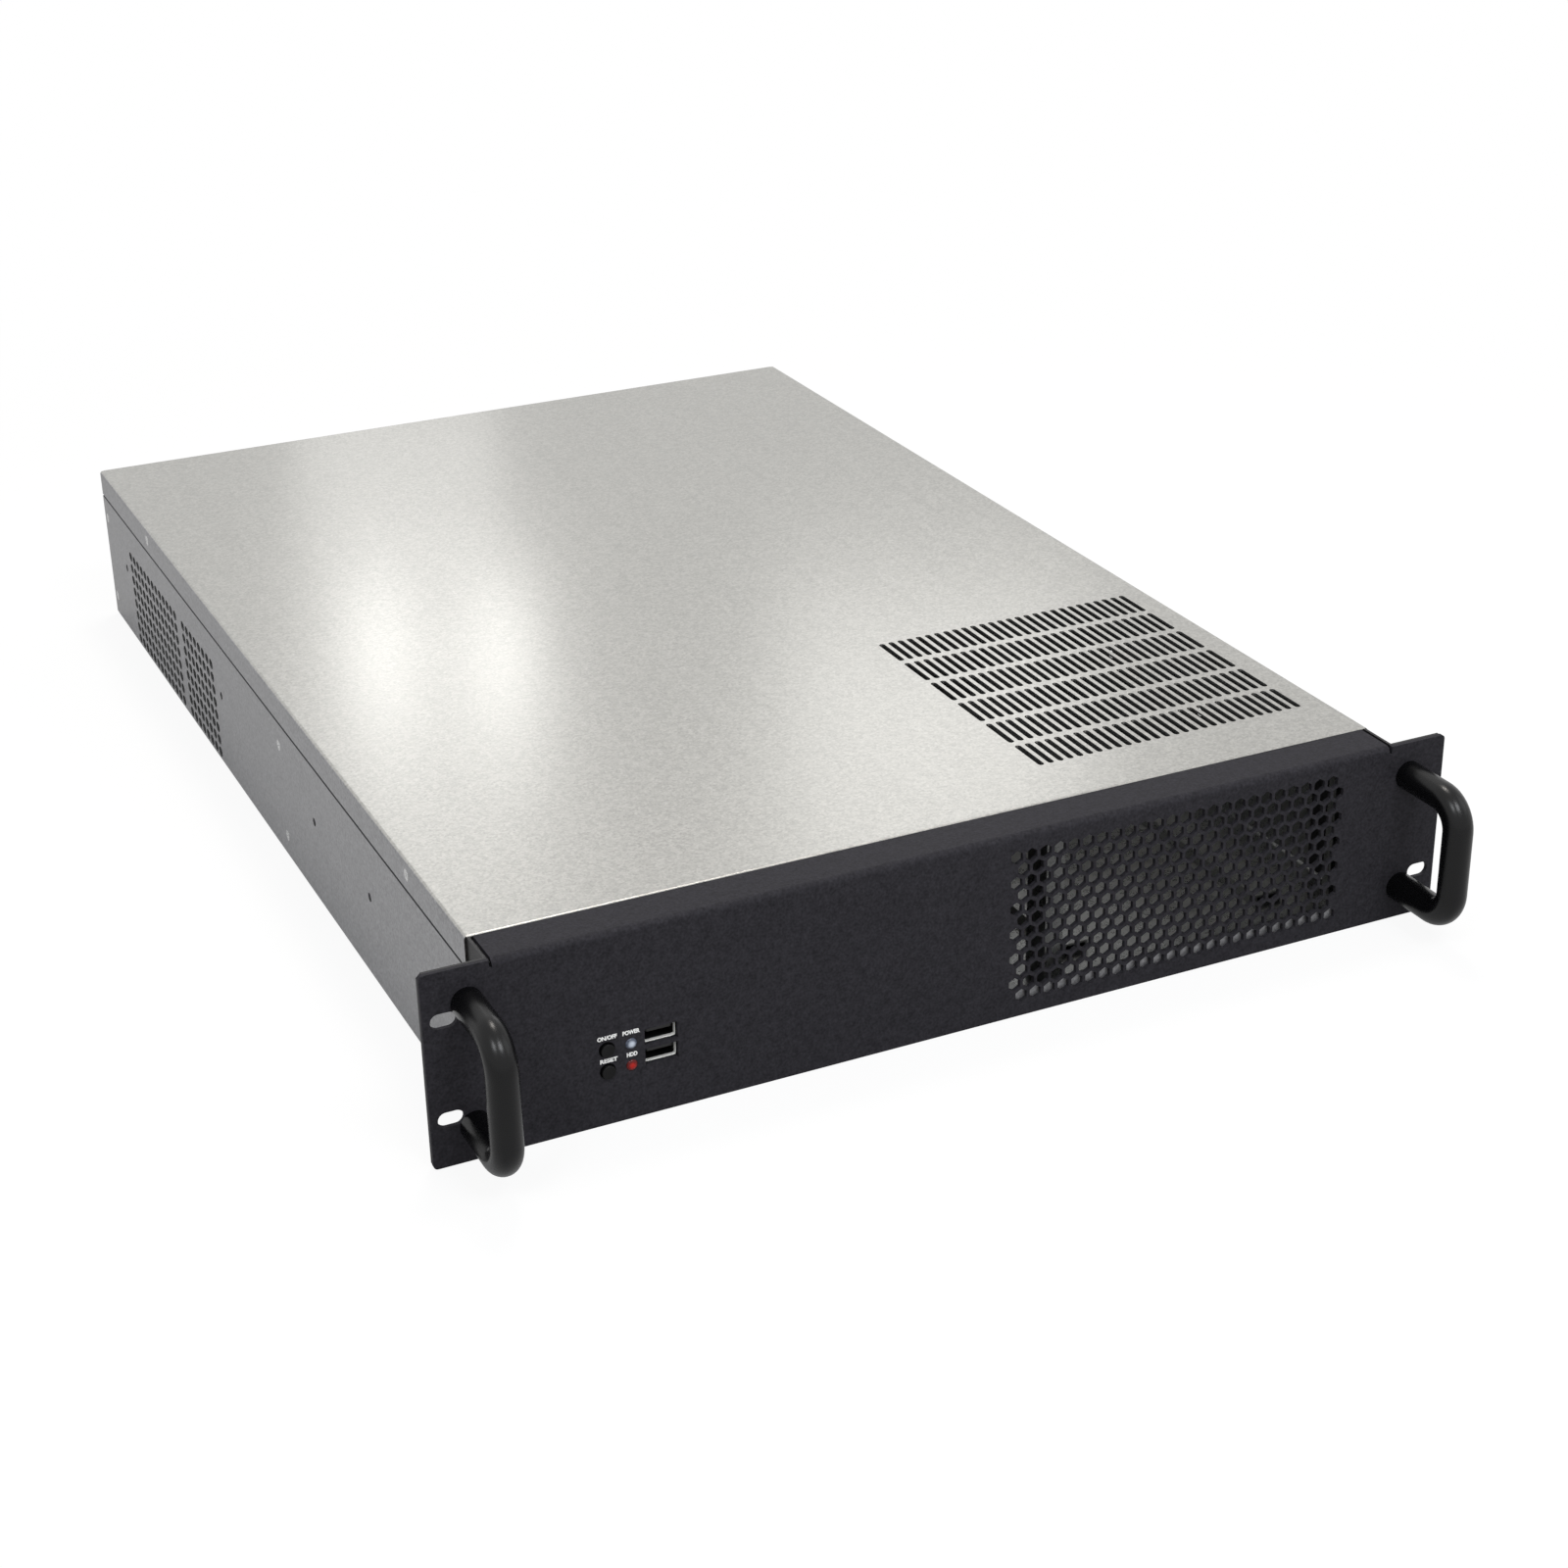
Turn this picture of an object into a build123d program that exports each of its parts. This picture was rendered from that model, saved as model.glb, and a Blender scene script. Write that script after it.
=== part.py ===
from build123d import *
import os

# Empty 2U rackmount server case: folded steel tray, lift-off top cover, meshed front
# panel with rack ears and bar handles, fan wall, drive cages and rear panel.
# Millimetres. X to the right seen from the front, Y to the rear, Z up.
# The origin is the centre of the case's footprint, on the face that it rests on.

# Rack standard
UNIT_HEIGHT = 44.45
UNITS = 2
RACK_WIDTH = 482.6
EAR_HOLE_INSET = 8.75
EAR_HOLE_RISE = 44.45
EAR_SLOT_LENGTH = 11.0
EAR_SLOT_HEIGHT = 6.8
PANEL_RELIEF = 1.3

# Case
EAR_WIDTH = 26.3
DEPTH = 650.0
SHEET = 1.0
BEND = 1.0
COVER_LIFT_GAP = 0.3

# Front panel
PANEL_SHEET = 2.0
PANEL_BEND = 1.0
STRIP_DEPTH = 21.65
STRIP_END_GAP = 1.4
EAR_CORNER = 2.0
RELIEF_WIDTH = 1.2
RELIEF_DEPTH = 3.5
BRACKET_SHEET = 1.2
BRACKET_TAIL = 34.0
WINDOW_MARGIN = 1.2

# Hexagon mesh in the front panel
MESH_PITCH = 9.25
MESH_ROW = 8.1
MESH_FLATS = 6.65
MESH_COLUMNS = 18
MESH_ROWS = 9
MESH_FROM_SIDE = 111.8
MESH_Z = 43.4

# Handles
HANDLE_BAR = 13.4
HANDLE_REACH = 37.2
HANDLE_SPAN = 56.0
HANDLE_BEND = 13.0
HANDLE_SIDES = 12
HANDLE_INSET = 18.7

# Controls, from the case's left side and the panel's lower edge
BUTTON_FROM_SIDE = 49.0
LAMP_FROM_BUTTON = 10.5
UPPER_ROW_Z = 34.9
ROW_DROP = 10.0
BUTTON_HOLE = 7.0
BUTTON_CAP = 6.0
BUTTON_PROUD = 1.5
BUTTON_TRAVEL = 1.5
BUTTON_STEM = 3.0
BUTTON_COLLAR = 8.6
COLLAR_THICK = 1.0
COLLAR_GAP = 0.3
LAMP_DIAMETER = 5.0
LAMP_PROUD = 0.9
SWITCH_SIZE = 6.0
SWITCH_HEIGHT = 4.5
USB_FROM_LAMP = 13.2
USB_UPPER_Z = 36.0
USB_DROP = 9.1
USB_WIDTH = 13.7
USB_HEIGHT = 6.7
USB_WALL = 0.35
USB_MARGIN = 0.4
USB_TONGUE = 1.9
USB_RECESS = 1.2
BOARD_FROM_PANEL = 12.0
BOARD_SHEET = 1.6
BOARD_MARGIN = 6.0
POST_FLATS = 5.0

# Top cover
SKIRT_HEIGHT = 13.5
SKIRT_GAP = 0.3
GROOVE = 1.4
JOGGLE_RISE = 1.1
HEM_DEPTH = 8.0
REAR_SKIRT = 9.0
CORNER_NOTCH = 1.7
FRONT_GAP = 0.25
COVER_VENT_WIDTH = 7.6
COVER_VENT_LENGTH = 22.9
COVER_VENT_PITCH = 15.3
COVER_VENT_ROW = 26.45
COVER_VENT_COLUMNS = 9
COVER_VENT_ROWS = 6
COVER_VENT_FROM_SIDE = 81.9
COVER_VENT_DEPTH = 132.2

# Chassis tray
TRAY_LIP = 12.0
TOP_FLANGE = 10.0

# Fan wall
FAN_WALL_DEPTH = 282.0
FAN_WALL_FLANGE = 15.0
FAN_WALL_FOOT = 12.0
FAN_SIZE = 80.0
FAN_OPENING = 76.0
FAN_OPENING_CORNER = 20.0
FAN_PITCH = 128.0
FAN_COUNT = 3
FAN_LIFT = 2.2

# Drive cage
CAGE_FRONT = 60.0
CAGE_LENGTH = 148.0
CAGE_GAP = 10.4
CAGE_DRIVES = 2
CAGE_FOOT = 7.0
CAGE_SLOT_INSET = 32.0
CAGE_SLOT_RISE = 14.0
CAGE_SLOT_LENGTH = 26.0
CAGE_SLOT_HEIGHT = 4.0
DRIVE_WIDTH = 102.2
DRIVE_PITCH = 40.0

# Power supply bay
SUPPLY_WIDTH = 150.0
SUPPLY_HEIGHT = 80.0
SUPPLY_FROM_SIDE = 91.0
SUPPLY_FRAME_DEPTH = 14.0
SUPPLY_RIM = 4.5
SUPPLY_SIDE = 16.0
RUNNER_LENGTH = 150.0
RUNNER_HEIGHT = 6.0
RUNNER_WIDTH = 14.0
RUNNER_SPAN = 104.0

# Rear panel
REAR_FLANGE = 14.0
IO_WIDTH = 158.75
IO_HEIGHT = 44.45
IO_FROM_SIDE = 25.0
STANDOFF_HEIGHT = 6.5
STANDOFF_FLATS = 5.5
BOARD_MIDDLE_COLUMN = 157.48
BOARD_FAR_COLUMN = 281.94
BOARD_MIDDLE_ROW = 154.94
BOARD_FAR_ROW = 227.33
BOARD_EDGE = 6.35
BOARD_REAR_ROW = 10.16
BOARD_THICK = 1.6
CONNECTOR_DROP = 2.2
SLOT_COUNT = 7
SLOT_PITCH = 20.32
SLOT_OPENING = 13.0
SLOT_TALL = 62.0
SLOT_FROM_IO = 12.0
SLOT_BASE = 9.0
COVER_PLATE_WIDTH = 18.4
COVER_PLATE_OVER = 7.0
COVER_PLATE_TAB = 10.0
COVER_PLATE_SHEET = 0.9
VENT_SLOT_WIDTH = 19.0
VENT_SLOT_TALL = 22.0
VENT_SLOT_PITCH = 26.0
VENT_SLOT_COUNT = 6
VENT_SLOT_BASE = 57.0
INLET_FROM_SIDE = 31.0
INLET_Z = 42.0
INLET_WIDTH = 27.6
INLET_HEIGHT = 20.2
INLET_RIM = 3.4
INLET_DEPTH = 18.0
INLET_WALL = 1.8
INLET_CHAMFER = 4.5
INLET_PIN = 2.0
INLET_PIN_SPACING = 7.0
INLET_PIN_DROP = 1.0
INLET_EARTH_RISE = 3.0

# What follows from the sizes above
PANEL_HEIGHT = UNITS * UNIT_HEIGHT - PANEL_RELIEF
MIDDLE_Z = PANEL_HEIGHT / 2
COVER_TOP = PANEL_HEIGHT + COVER_LIFT_GAP
COVER_UNDER = COVER_TOP - SHEET
SHELF_Z = COVER_UNDER - COVER_LIFT_GAP
SKIRT_Z = COVER_TOP - SKIRT_HEIGHT
HALF_RACK = RACK_WIDTH / 2
HALF_BODY = HALF_RACK - EAR_WIDTH
EAR_HOLE_X = HALF_RACK - EAR_HOLE_INSET
HANDLE_X = HALF_RACK - HANDLE_INSET
MESH_X = HALF_BODY - MESH_FROM_SIDE
BUTTON_X = BUTTON_FROM_SIDE - HALF_BODY
LAMP_X = BUTTON_X + LAMP_FROM_BUTTON
USB_X = LAMP_X + USB_FROM_LAMP
SUPPLY_X = HALF_BODY - SUPPLY_FROM_SIDE
SUPPLY_HALF = SUPPLY_WIDTH / 2 + SUPPLY_RIM
CAGE_HALF = DRIVE_WIDTH / 2 + CAGE_FOOT
CAGE_X = SUPPLY_X - SUPPLY_HALF - CAGE_GAP - CAGE_HALF
IO_X = HALF_BODY - IO_FROM_SIDE - IO_WIDTH / 2
INLET_X = INLET_FROM_SIDE - HALF_BODY
WALL_INNER = HALF_BODY - SHEET
BAND_OUTER = WALL_INNER - SKIRT_GAP
BAND_INNER = BAND_OUTER - SHEET
JOGGLE_Z = SKIRT_Z - GROOVE
BAND_Z = JOGGLE_Z + JOGGLE_RISE
BRACKET_INNER = WALL_INNER - BRACKET_SHEET
STRIP_HALF = BRACKET_INNER - STRIP_END_GAP
EAR_BACK = PANEL_SHEET + BRACKET_SHEET
WALL_FRONT = STRIP_DEPTH + FRONT_GAP
REAR_FACE = DEPTH - SHEET - SKIRT_GAP
REAR_INNER = REAR_FACE - SHEET
LOWER_ROW_Z = UPPER_ROW_Z - ROW_DROP
USB_LOWER_Z = USB_UPPER_Z - USB_DROP
BOARD_FRONT = PANEL_SHEET + BOARD_FROM_PANEL
SWITCH_FRONT = BOARD_FRONT - SWITCH_HEIGHT
FAN_CENTRE_Z = SHEET + FAN_LIFT + FAN_SIZE / 2
IO_SILL = SHEET + STANDOFF_HEIGHT + BOARD_THICK - CONNECTOR_DROP
FIRST_SLOT_X = IO_X - IO_WIDTH / 2 - SLOT_FROM_IO


def from_front(depth):
    """Y of a plane that lies `depth` behind the panel's front face."""
    return depth - DEPTH / 2


def block(x, depth, z):
    """Box between two X values, two depths behind the front face and two heights."""
    size = (x[1] - x[0], depth[1] - depth[0], z[1] - z[0])
    middle = (sum(x) / 2, from_front(sum(depth) / 2), sum(z) / 2)
    return Pos(*middle) * Box(*size)


def facing(depth):
    """Drawing plane across the case: its X is the case's X and its Y the height."""
    return Plane.XZ.offset(-from_front(depth))


def lengthwise(x):
    """Drawing plane along the case at one X: its X is the case's Y and its Y the height."""
    return Plane.YZ.offset(x)


def through(sketch, depth):
    """Sketch on the cross plane carried from one depth to another."""
    return extrude(facing(depth[0]) * sketch, amount=depth[0] - depth[1])


def rod(diameter, x, z, depth):
    """Round bar along Y."""
    return through(Pos(x, z) * Circle(diameter / 2), depth)


def outline(*points):
    return make_face(Polyline(*points, close=True))


def rounded(face, corners, radius):
    """Face with the named corners rounded."""
    chosen = [face.vertices().sort_by_distance(corner)[0] for corner in corners]
    return fillet(chosen, radius)


def bevelled(face, corners, width):
    """Face with the named corners cut off, as the inside of a fold."""
    chosen = [face.vertices().sort_by_distance(corner)[0] for corner in corners]
    return chamfer(chosen, width)


def both_sides(part):
    return part + mirror(part, about=Plane.YZ)


def cross_plate(depth, z):
    """Flat plate that fills the case's inner section between two heights."""
    lower = block((-WALL_INNER, WALL_INNER), (depth, depth + SHEET), (z[0], JOGGLE_Z - SHEET))
    upper = block((-BAND_INNER, BAND_INNER), (depth, depth + SHEET), (JOGGLE_Z - SHEET, z[1]))
    return lower + upper


def ear_slots(depth):
    """The rack slots in both ears, as cutters."""
    slot = SlotOverall(EAR_SLOT_LENGTH, EAR_SLOT_HEIGHT)
    return [
        through(Pos(x, MIDDLE_Z + rise) * slot, depth)
        for x in (-EAR_HOLE_X, EAR_HOLE_X)
        for rise in (-EAR_HOLE_RISE / 2, EAR_HOLE_RISE / 2)
    ]


def ear_windows():
    """Clearance windows in the right bracket behind the rack slots, as cutters."""
    window = Rectangle(EAR_SLOT_LENGTH + 2 * WINDOW_MARGIN, EAR_SLOT_HEIGHT + 2 * WINDOW_MARGIN)
    return [
        through(Pos(EAR_HOLE_X, MIDDLE_Z + rise) * window, (PANEL_SHEET, EAR_BACK))
        for rise in (-EAR_HOLE_RISE / 2, EAR_HOLE_RISE / 2)
    ]


def mesh_sketch():
    """Staggered hexagons that stand on a corner."""
    cell = RegularPolygon(MESH_FLATS / 2, 6, major_radius=False, rotation=30)
    cells = []
    for row in range(MESH_ROWS):
        shift = MESH_PITCH / 4 if row % 2 == 0 else -MESH_PITCH / 4
        z = MESH_Z + (row - (MESH_ROWS - 1) / 2) * MESH_ROW
        for column in range(MESH_COLUMNS):
            x = MESH_X + (column - (MESH_COLUMNS - 1) / 2) * MESH_PITCH + shift
            cells.append(Pos(x, z) * cell)
    return cells


def control_cutouts():
    """Holes for the buttons, lamps and USB sockets."""
    cutouts = []
    for z in (UPPER_ROW_Z, LOWER_ROW_Z):
        cutouts.append(Pos(BUTTON_X, z) * Circle(BUTTON_HOLE / 2))
        cutouts.append(Pos(LAMP_X, z) * Circle(LAMP_DIAMETER / 2))
    for z in (USB_UPPER_Z, USB_LOWER_Z):
        cutouts.append(Pos(USB_X, z) * Rectangle(USB_WIDTH + 2 * USB_MARGIN, USB_HEIGHT + 2 * USB_MARGIN))
    return cutouts


def front_panel():
    """Face, ears and top flange, folded from one sheet and cut with its openings."""
    outer = PANEL_BEND + PANEL_SHEET
    front, back = from_front(0), from_front(PANEL_SHEET)
    profile = outline(
        (front, 0), (front, PANEL_HEIGHT), (from_front(STRIP_DEPTH), PANEL_HEIGHT),
        (from_front(STRIP_DEPTH), PANEL_HEIGHT - PANEL_SHEET), (back, PANEL_HEIGHT - PANEL_SHEET), (back, 0),
    )
    profile = rounded(profile, [(front, PANEL_HEIGHT, 0)], outer)
    profile = bevelled(profile, [(back, PANEL_HEIGHT - PANEL_SHEET, 0)], PANEL_BEND)
    folded = extrude(lengthwise(-STRIP_HALF) * profile, amount=2 * STRIP_HALF)
    face = Pos(0, MIDDLE_Z) * RectangleRounded(RACK_WIDTH, PANEL_HEIGHT, EAR_CORNER)
    middle = Pos(0, MIDDLE_Z) * Rectangle(2 * STRIP_HALF, PANEL_HEIGHT)
    ears = through(face - middle, (0, PANEL_SHEET))
    relief = block(
        (STRIP_HALF, STRIP_HALF + RELIEF_WIDTH), (0, PANEL_SHEET), (PANEL_HEIGHT - RELIEF_DEPTH, PANEL_HEIGHT)
    )
    holes = through(Sketch() + mesh_sketch() + control_cutouts(), (0, PANEL_SHEET))
    return folded + ears - both_sides(relief) - holes - ear_slots((0, PANEL_SHEET))


def ear_bracket(side):
    """Angle behind one ear: its leg closes the gap beside the strip and runs into the tray."""
    edge = HALF_RACK
    ear = Pos((edge + BRACKET_INNER) / 2, MIDDLE_Z) * Rectangle(edge - BRACKET_INNER, PANEL_HEIGHT)
    corners = [(edge, 0, 0), (edge, PANEL_HEIGHT, 0)]
    flange = through(bevelled(Sketch() + ear, corners, EAR_CORNER), (PANEL_SHEET, EAR_BACK))
    cheek = block((BRACKET_INNER, WALL_INNER), (PANEL_SHEET, STRIP_DEPTH), (0, PANEL_HEIGHT))
    tail = block(
        (BRACKET_INNER, WALL_INNER), (STRIP_DEPTH, STRIP_DEPTH + BRACKET_TAIL),
        (2 * SHEET + BEND, JOGGLE_Z - 2 * SHEET),
    )
    bracket = flange + cheek + tail - ear_windows()
    return bracket if side > 0 else mirror(bracket, about=Plane.YZ)


def front_handles():
    """Pair of bars bent into a bow, whose ends stand on the ears; many flats stand for the round."""
    reach = HANDLE_REACH
    low, high = MIDDLE_Z - HANDLE_SPAN / 2, MIDDLE_Z + HANDLE_SPAN / 2
    handles = Part()
    for x in (-HANDLE_X, HANDLE_X):
        corners = [(0, low), (-reach, low), (-reach, high), (0, high)]
        path = FilletPolyline(*[(x, from_front(y), z) for y, z in corners], radius=HANDLE_BEND)
        section = RegularPolygon(HANDLE_BAR / 2, HANDLE_SIDES, rotation=180 / HANDLE_SIDES)
        handles += sweep(Plane(origin=path @ 0, z_dir=path % 0) * section, path=path)
    return handles


def chassis_tray():
    """Floor, front lip and side walls, whose upper edge steps in behind the cover's skirt."""
    half = outline(
        (0, 0), (HALF_BODY, 0), (HALF_BODY, JOGGLE_Z), (BAND_OUTER, BAND_Z), (BAND_OUTER, SHELF_Z),
        (BAND_OUTER - TOP_FLANGE, SHELF_Z), (BAND_OUTER - TOP_FLANGE, SHELF_Z - SHEET),
        (BAND_INNER, SHELF_Z - SHEET), (BAND_INNER, BAND_Z - SHEET / 4), (WALL_INNER, JOGGLE_Z - SHEET / 4),
        (WALL_INNER, SHEET), (0, SHEET),
    )
    half = rounded(half, [(HALF_BODY, 0, 0), (BAND_OUTER, SHELF_Z, 0)], BEND + SHEET)
    half = bevelled(half, [(WALL_INNER, SHEET, 0), (BAND_INNER, SHELF_Z - SHEET, 0)], BEND)
    channel = through(half, (WALL_FRONT, REAR_FACE))
    channel += mirror(channel, about=Plane.YZ)
    reach = BRACKET_INNER - SHEET
    apron = block((-reach, reach), (PANEL_SHEET, WALL_FRONT), (0, SHEET))
    lip = block((-reach, reach), (PANEL_SHEET, PANEL_SHEET + SHEET), (0, TRAY_LIP))
    tray = channel + apron + lip
    tray -= cross_plate(REAR_INNER, (SHEET, SHELF_Z))
    tray -= block((-WALL_INNER, WALL_INNER), (REAR_INNER, REAR_FACE), (SHELF_Z - SHEET, SHELF_Z))
    return tray


def cover_vents():
    """Grid of air slots in the cover above the power supply, as cutters."""
    at = Pos(HALF_BODY - COVER_VENT_FROM_SIDE, from_front(COVER_VENT_DEPTH), COVER_UNDER)
    slot = Rectangle(COVER_VENT_WIDTH, COVER_VENT_LENGTH)
    grid = GridLocations(COVER_VENT_PITCH, COVER_VENT_ROW, COVER_VENT_COLUMNS, COVER_VENT_ROWS)
    return [extrude(at * place * slot, amount=SHEET) for place in grid]


def top_cover():
    """Folded cover with side skirts, a rear skirt, a hemmed front edge and air slots."""
    half = outline(
        (0, COVER_TOP), (HALF_BODY, COVER_TOP), (HALF_BODY, SKIRT_Z), (WALL_INNER, SKIRT_Z),
        (WALL_INNER, COVER_UNDER), (0, COVER_UNDER),
    )
    half = rounded(half, [(HALF_BODY, COVER_TOP, 0)], BEND + SHEET / 2)
    half = bevelled(half, [(WALL_INNER, COVER_UNDER, 0)], BEND / 2)
    shell = through(half, (WALL_FRONT, DEPTH))
    shell += mirror(shell, about=Plane.YZ)
    rear, inner = from_front(DEPTH), from_front(DEPTH - SHEET)
    start = from_front(DEPTH - CORNER_NOTCH)
    skirt = outline(
        (start, COVER_TOP), (rear, COVER_TOP), (rear, COVER_TOP - REAR_SKIRT),
        (inner, COVER_TOP - REAR_SKIRT), (inner, COVER_UNDER), (start, COVER_UNDER),
    )
    skirt = rounded(skirt, [(rear, COVER_TOP, 0)], BEND + SHEET / 2)
    skirt = bevelled(skirt, [(inner, COVER_UNDER, 0)], BEND / 2)
    shell -= block((-HALF_BODY, HALF_BODY), (DEPTH - CORNER_NOTCH, DEPTH), (SKIRT_Z, COVER_TOP))
    shell += extrude(lengthwise(-BAND_INNER) * skirt, amount=2 * BAND_INNER)
    reach = BAND_OUTER - TOP_FLANGE - SKIRT_GAP
    front, fold = from_front(WALL_FRONT), from_front(WALL_FRONT + HEM_DEPTH)
    hem = outline(
        (front, COVER_TOP - 2 * SHEET), (fold, COVER_TOP - 2 * SHEET),
        (fold, COVER_UNDER), (front, COVER_UNDER),
    )
    shell += extrude(lengthwise(-reach) * hem, amount=2 * reach)
    return shell - cover_vents()


def front_crossbar():
    """Angle under the panel's flange and the cover's hem, between the tray's walls."""
    top = PANEL_HEIGHT - PANEL_SHEET
    front, rear = from_front(PANEL_SHEET + PANEL_BEND), from_front(STRIP_DEPTH + TOP_FLANGE)
    profile = outline(
        (front, top), (rear, top), (rear, top - SKIRT_HEIGHT), (rear - SHEET, top - SKIRT_HEIGHT),
        (rear - SHEET, top - SHEET), (front, top - SHEET),
    )
    profile = bevelled(profile, [(rear, top, 0), (rear - SHEET, top - SHEET, 0)], BEND)
    bar = extrude(lengthwise(-BAND_INNER) * profile, amount=2 * BAND_INNER)
    return bar - both_sides(block((BAND_INNER - BEND, BAND_INNER), (0, DEPTH), (top - BEND, top)))


def fan_centres():
    return [(index - (FAN_COUNT - 1) / 2) * FAN_PITCH for index in range(FAN_COUNT)]


def fan_wall():
    """Cross wall with an opening for each fan, side flanges and a foot."""
    wall = cross_plate(FAN_WALL_DEPTH, (SHEET, FAN_CENTRE_Z + FAN_SIZE / 2))
    flange = block(
        (WALL_INNER - SHEET, WALL_INNER), (FAN_WALL_DEPTH, FAN_WALL_DEPTH + FAN_WALL_FLANGE),
        (2 * SHEET + BEND, JOGGLE_Z - 2 * SHEET),
    )
    reach = WALL_INNER - 2 * BEND
    foot = block((-reach, reach), (FAN_WALL_DEPTH - FAN_WALL_FOOT, FAN_WALL_DEPTH), (SHEET, 2 * SHEET))
    opening = Sketch() + Rectangle(FAN_OPENING, FAN_OPENING)
    opening = chamfer(opening.vertices(), FAN_OPENING_CORNER)
    openings = Sketch() + [Pos(x, FAN_CENTRE_Z) * opening for x in fan_centres()]
    wall = wall + both_sides(flange) + foot - both_sides(floor_bend())
    return wall - through(openings, (FAN_WALL_DEPTH, FAN_WALL_DEPTH + SHEET))


def floor_bend():
    """Corner where the floor's bend leaves no room for a square plate."""
    return block((WALL_INNER - BEND, WALL_INNER), (0, DEPTH), (SHEET, SHEET + BEND))


def drive_cage():
    """Inverted channel for stacked drives, with feet on the floor and slotted walls."""
    half = DRIVE_WIDTH / 2
    top = 2 * SHEET + CAGE_DRIVES * DRIVE_PITCH
    section = outline(
        (0, top), (half + SHEET, top), (half + SHEET, 2 * SHEET), (CAGE_HALF, 2 * SHEET),
        (CAGE_HALF, SHEET), (half, SHEET), (half, top - SHEET), (0, top - SHEET),
    )
    section = bevelled(section, [(half + SHEET, top, 0), (half, top - SHEET, 0)], BEND)
    side = through(section, (CAGE_FRONT, CAGE_FRONT + CAGE_LENGTH))
    cage = Pos(CAGE_X, 0, 0) * both_sides(side)
    slots = Sketch()
    for depth in (CAGE_FRONT + CAGE_SLOT_INSET, CAGE_FRONT + CAGE_LENGTH - CAGE_SLOT_INSET):
        for row in range(CAGE_DRIVES):
            z = SHEET + DRIVE_PITCH * row + CAGE_SLOT_RISE
            slots += Pos(from_front(depth), z) * Rectangle(CAGE_SLOT_LENGTH, CAGE_SLOT_HEIGHT)
    return cage - extrude(lengthwise(CAGE_X - CAGE_HALF) * slots, amount=2 * CAGE_HALF)


def supply_frame():
    """Upright frame behind the mesh that the power supply is screwed to."""
    top = SHEET + SUPPLY_HEIGHT + SUPPLY_RIM / 2
    x = (SUPPLY_X - SUPPLY_HALF, SUPPLY_X + SUPPLY_HALF)
    depth = (SUPPLY_FRAME_DEPTH, SUPPLY_FRAME_DEPTH + SHEET)
    window = (SHEET + SUPPLY_RIM, top - SUPPLY_RIM)
    frame = block(x, depth, (SHEET, top))
    frame -= block((x[0] + 2 * SUPPLY_RIM, x[1] - 2 * SUPPLY_RIM), depth, window)
    back = (SUPPLY_FRAME_DEPTH, SUPPLY_FRAME_DEPTH + SUPPLY_SIDE)
    frame += block((x[0], x[0] + SHEET), back, (SHEET, top))
    frame += block((x[1] - SHEET, x[1]), back, (SHEET, top))
    frame += block(x, back, (SHEET, 2 * SHEET))
    return frame


def supply_runners():
    """Two floor channels that the power supply slides in on."""
    runners = Part()
    start = SUPPLY_FRAME_DEPTH + SUPPLY_SIDE + SUPPLY_RIM
    for x in (SUPPLY_X - RUNNER_SPAN / 2, SUPPLY_X + RUNNER_SPAN / 2):
        half = RUNNER_WIDTH / 2
        section = Pos(x, SHEET + RUNNER_HEIGHT / 2) * Rectangle(RUNNER_WIDTH, RUNNER_HEIGHT)
        hollow = Pos(x, SHEET + (RUNNER_HEIGHT - SHEET) / 2) * Rectangle(
            2 * (half - SHEET), RUNNER_HEIGHT - SHEET
        )
        runners += through(section - hollow, (start, start + RUNNER_LENGTH))
    return runners


def slot_centres():
    return [FIRST_SLOT_X - SLOT_PITCH * index for index in range(SLOT_COUNT)]


def rear_panel():
    """Folded rear wall with the connector opening, card slots, vents and inlet cut-out."""
    wall = cross_plate(REAR_INNER, (SHEET, SHELF_Z))
    depth = (REAR_INNER - REAR_FLANGE, REAR_INNER)
    flange = block((WALL_INNER - SHEET, WALL_INNER), depth, (2 * SHEET + BEND, JOGGLE_Z - 2 * SHEET))
    reach = WALL_INNER - 2 * BEND
    foot_depth = BOARD_REAR_ROW - STANDOFF_FLATS / 2 - SKIRT_GAP
    foot = block((-reach, reach), (REAR_INNER - foot_depth, REAR_INNER), (SHEET, 2 * SHEET))
    shelf_reach = BAND_OUTER - TOP_FLANGE - SHEET
    shelf = block((-shelf_reach, shelf_reach), depth, (SHELF_Z - SHEET, SHELF_Z))
    wall = wall + both_sides(flange) + foot + shelf
    cutouts = [Pos(IO_X, IO_SILL + IO_HEIGHT / 2) * Rectangle(IO_WIDTH, IO_HEIGHT)]
    for x in slot_centres():
        cutouts.append(Pos(x, SLOT_BASE + SLOT_TALL / 2) * Rectangle(SLOT_OPENING, SLOT_TALL))
    for index in range(VENT_SLOT_COUNT):
        x = IO_X + (index - (VENT_SLOT_COUNT - 1) / 2) * VENT_SLOT_PITCH
        vent = Rectangle(VENT_SLOT_WIDTH, VENT_SLOT_TALL)
        cutouts.append(Pos(x, VENT_SLOT_BASE + VENT_SLOT_TALL / 2) * vent)
    cutouts.append(Pos(INLET_X, INLET_Z) * inlet_outline(0))
    wall -= through(Sketch() + cutouts, (REAR_INNER, REAR_FACE))
    return wall - both_sides(floor_bend())


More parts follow.
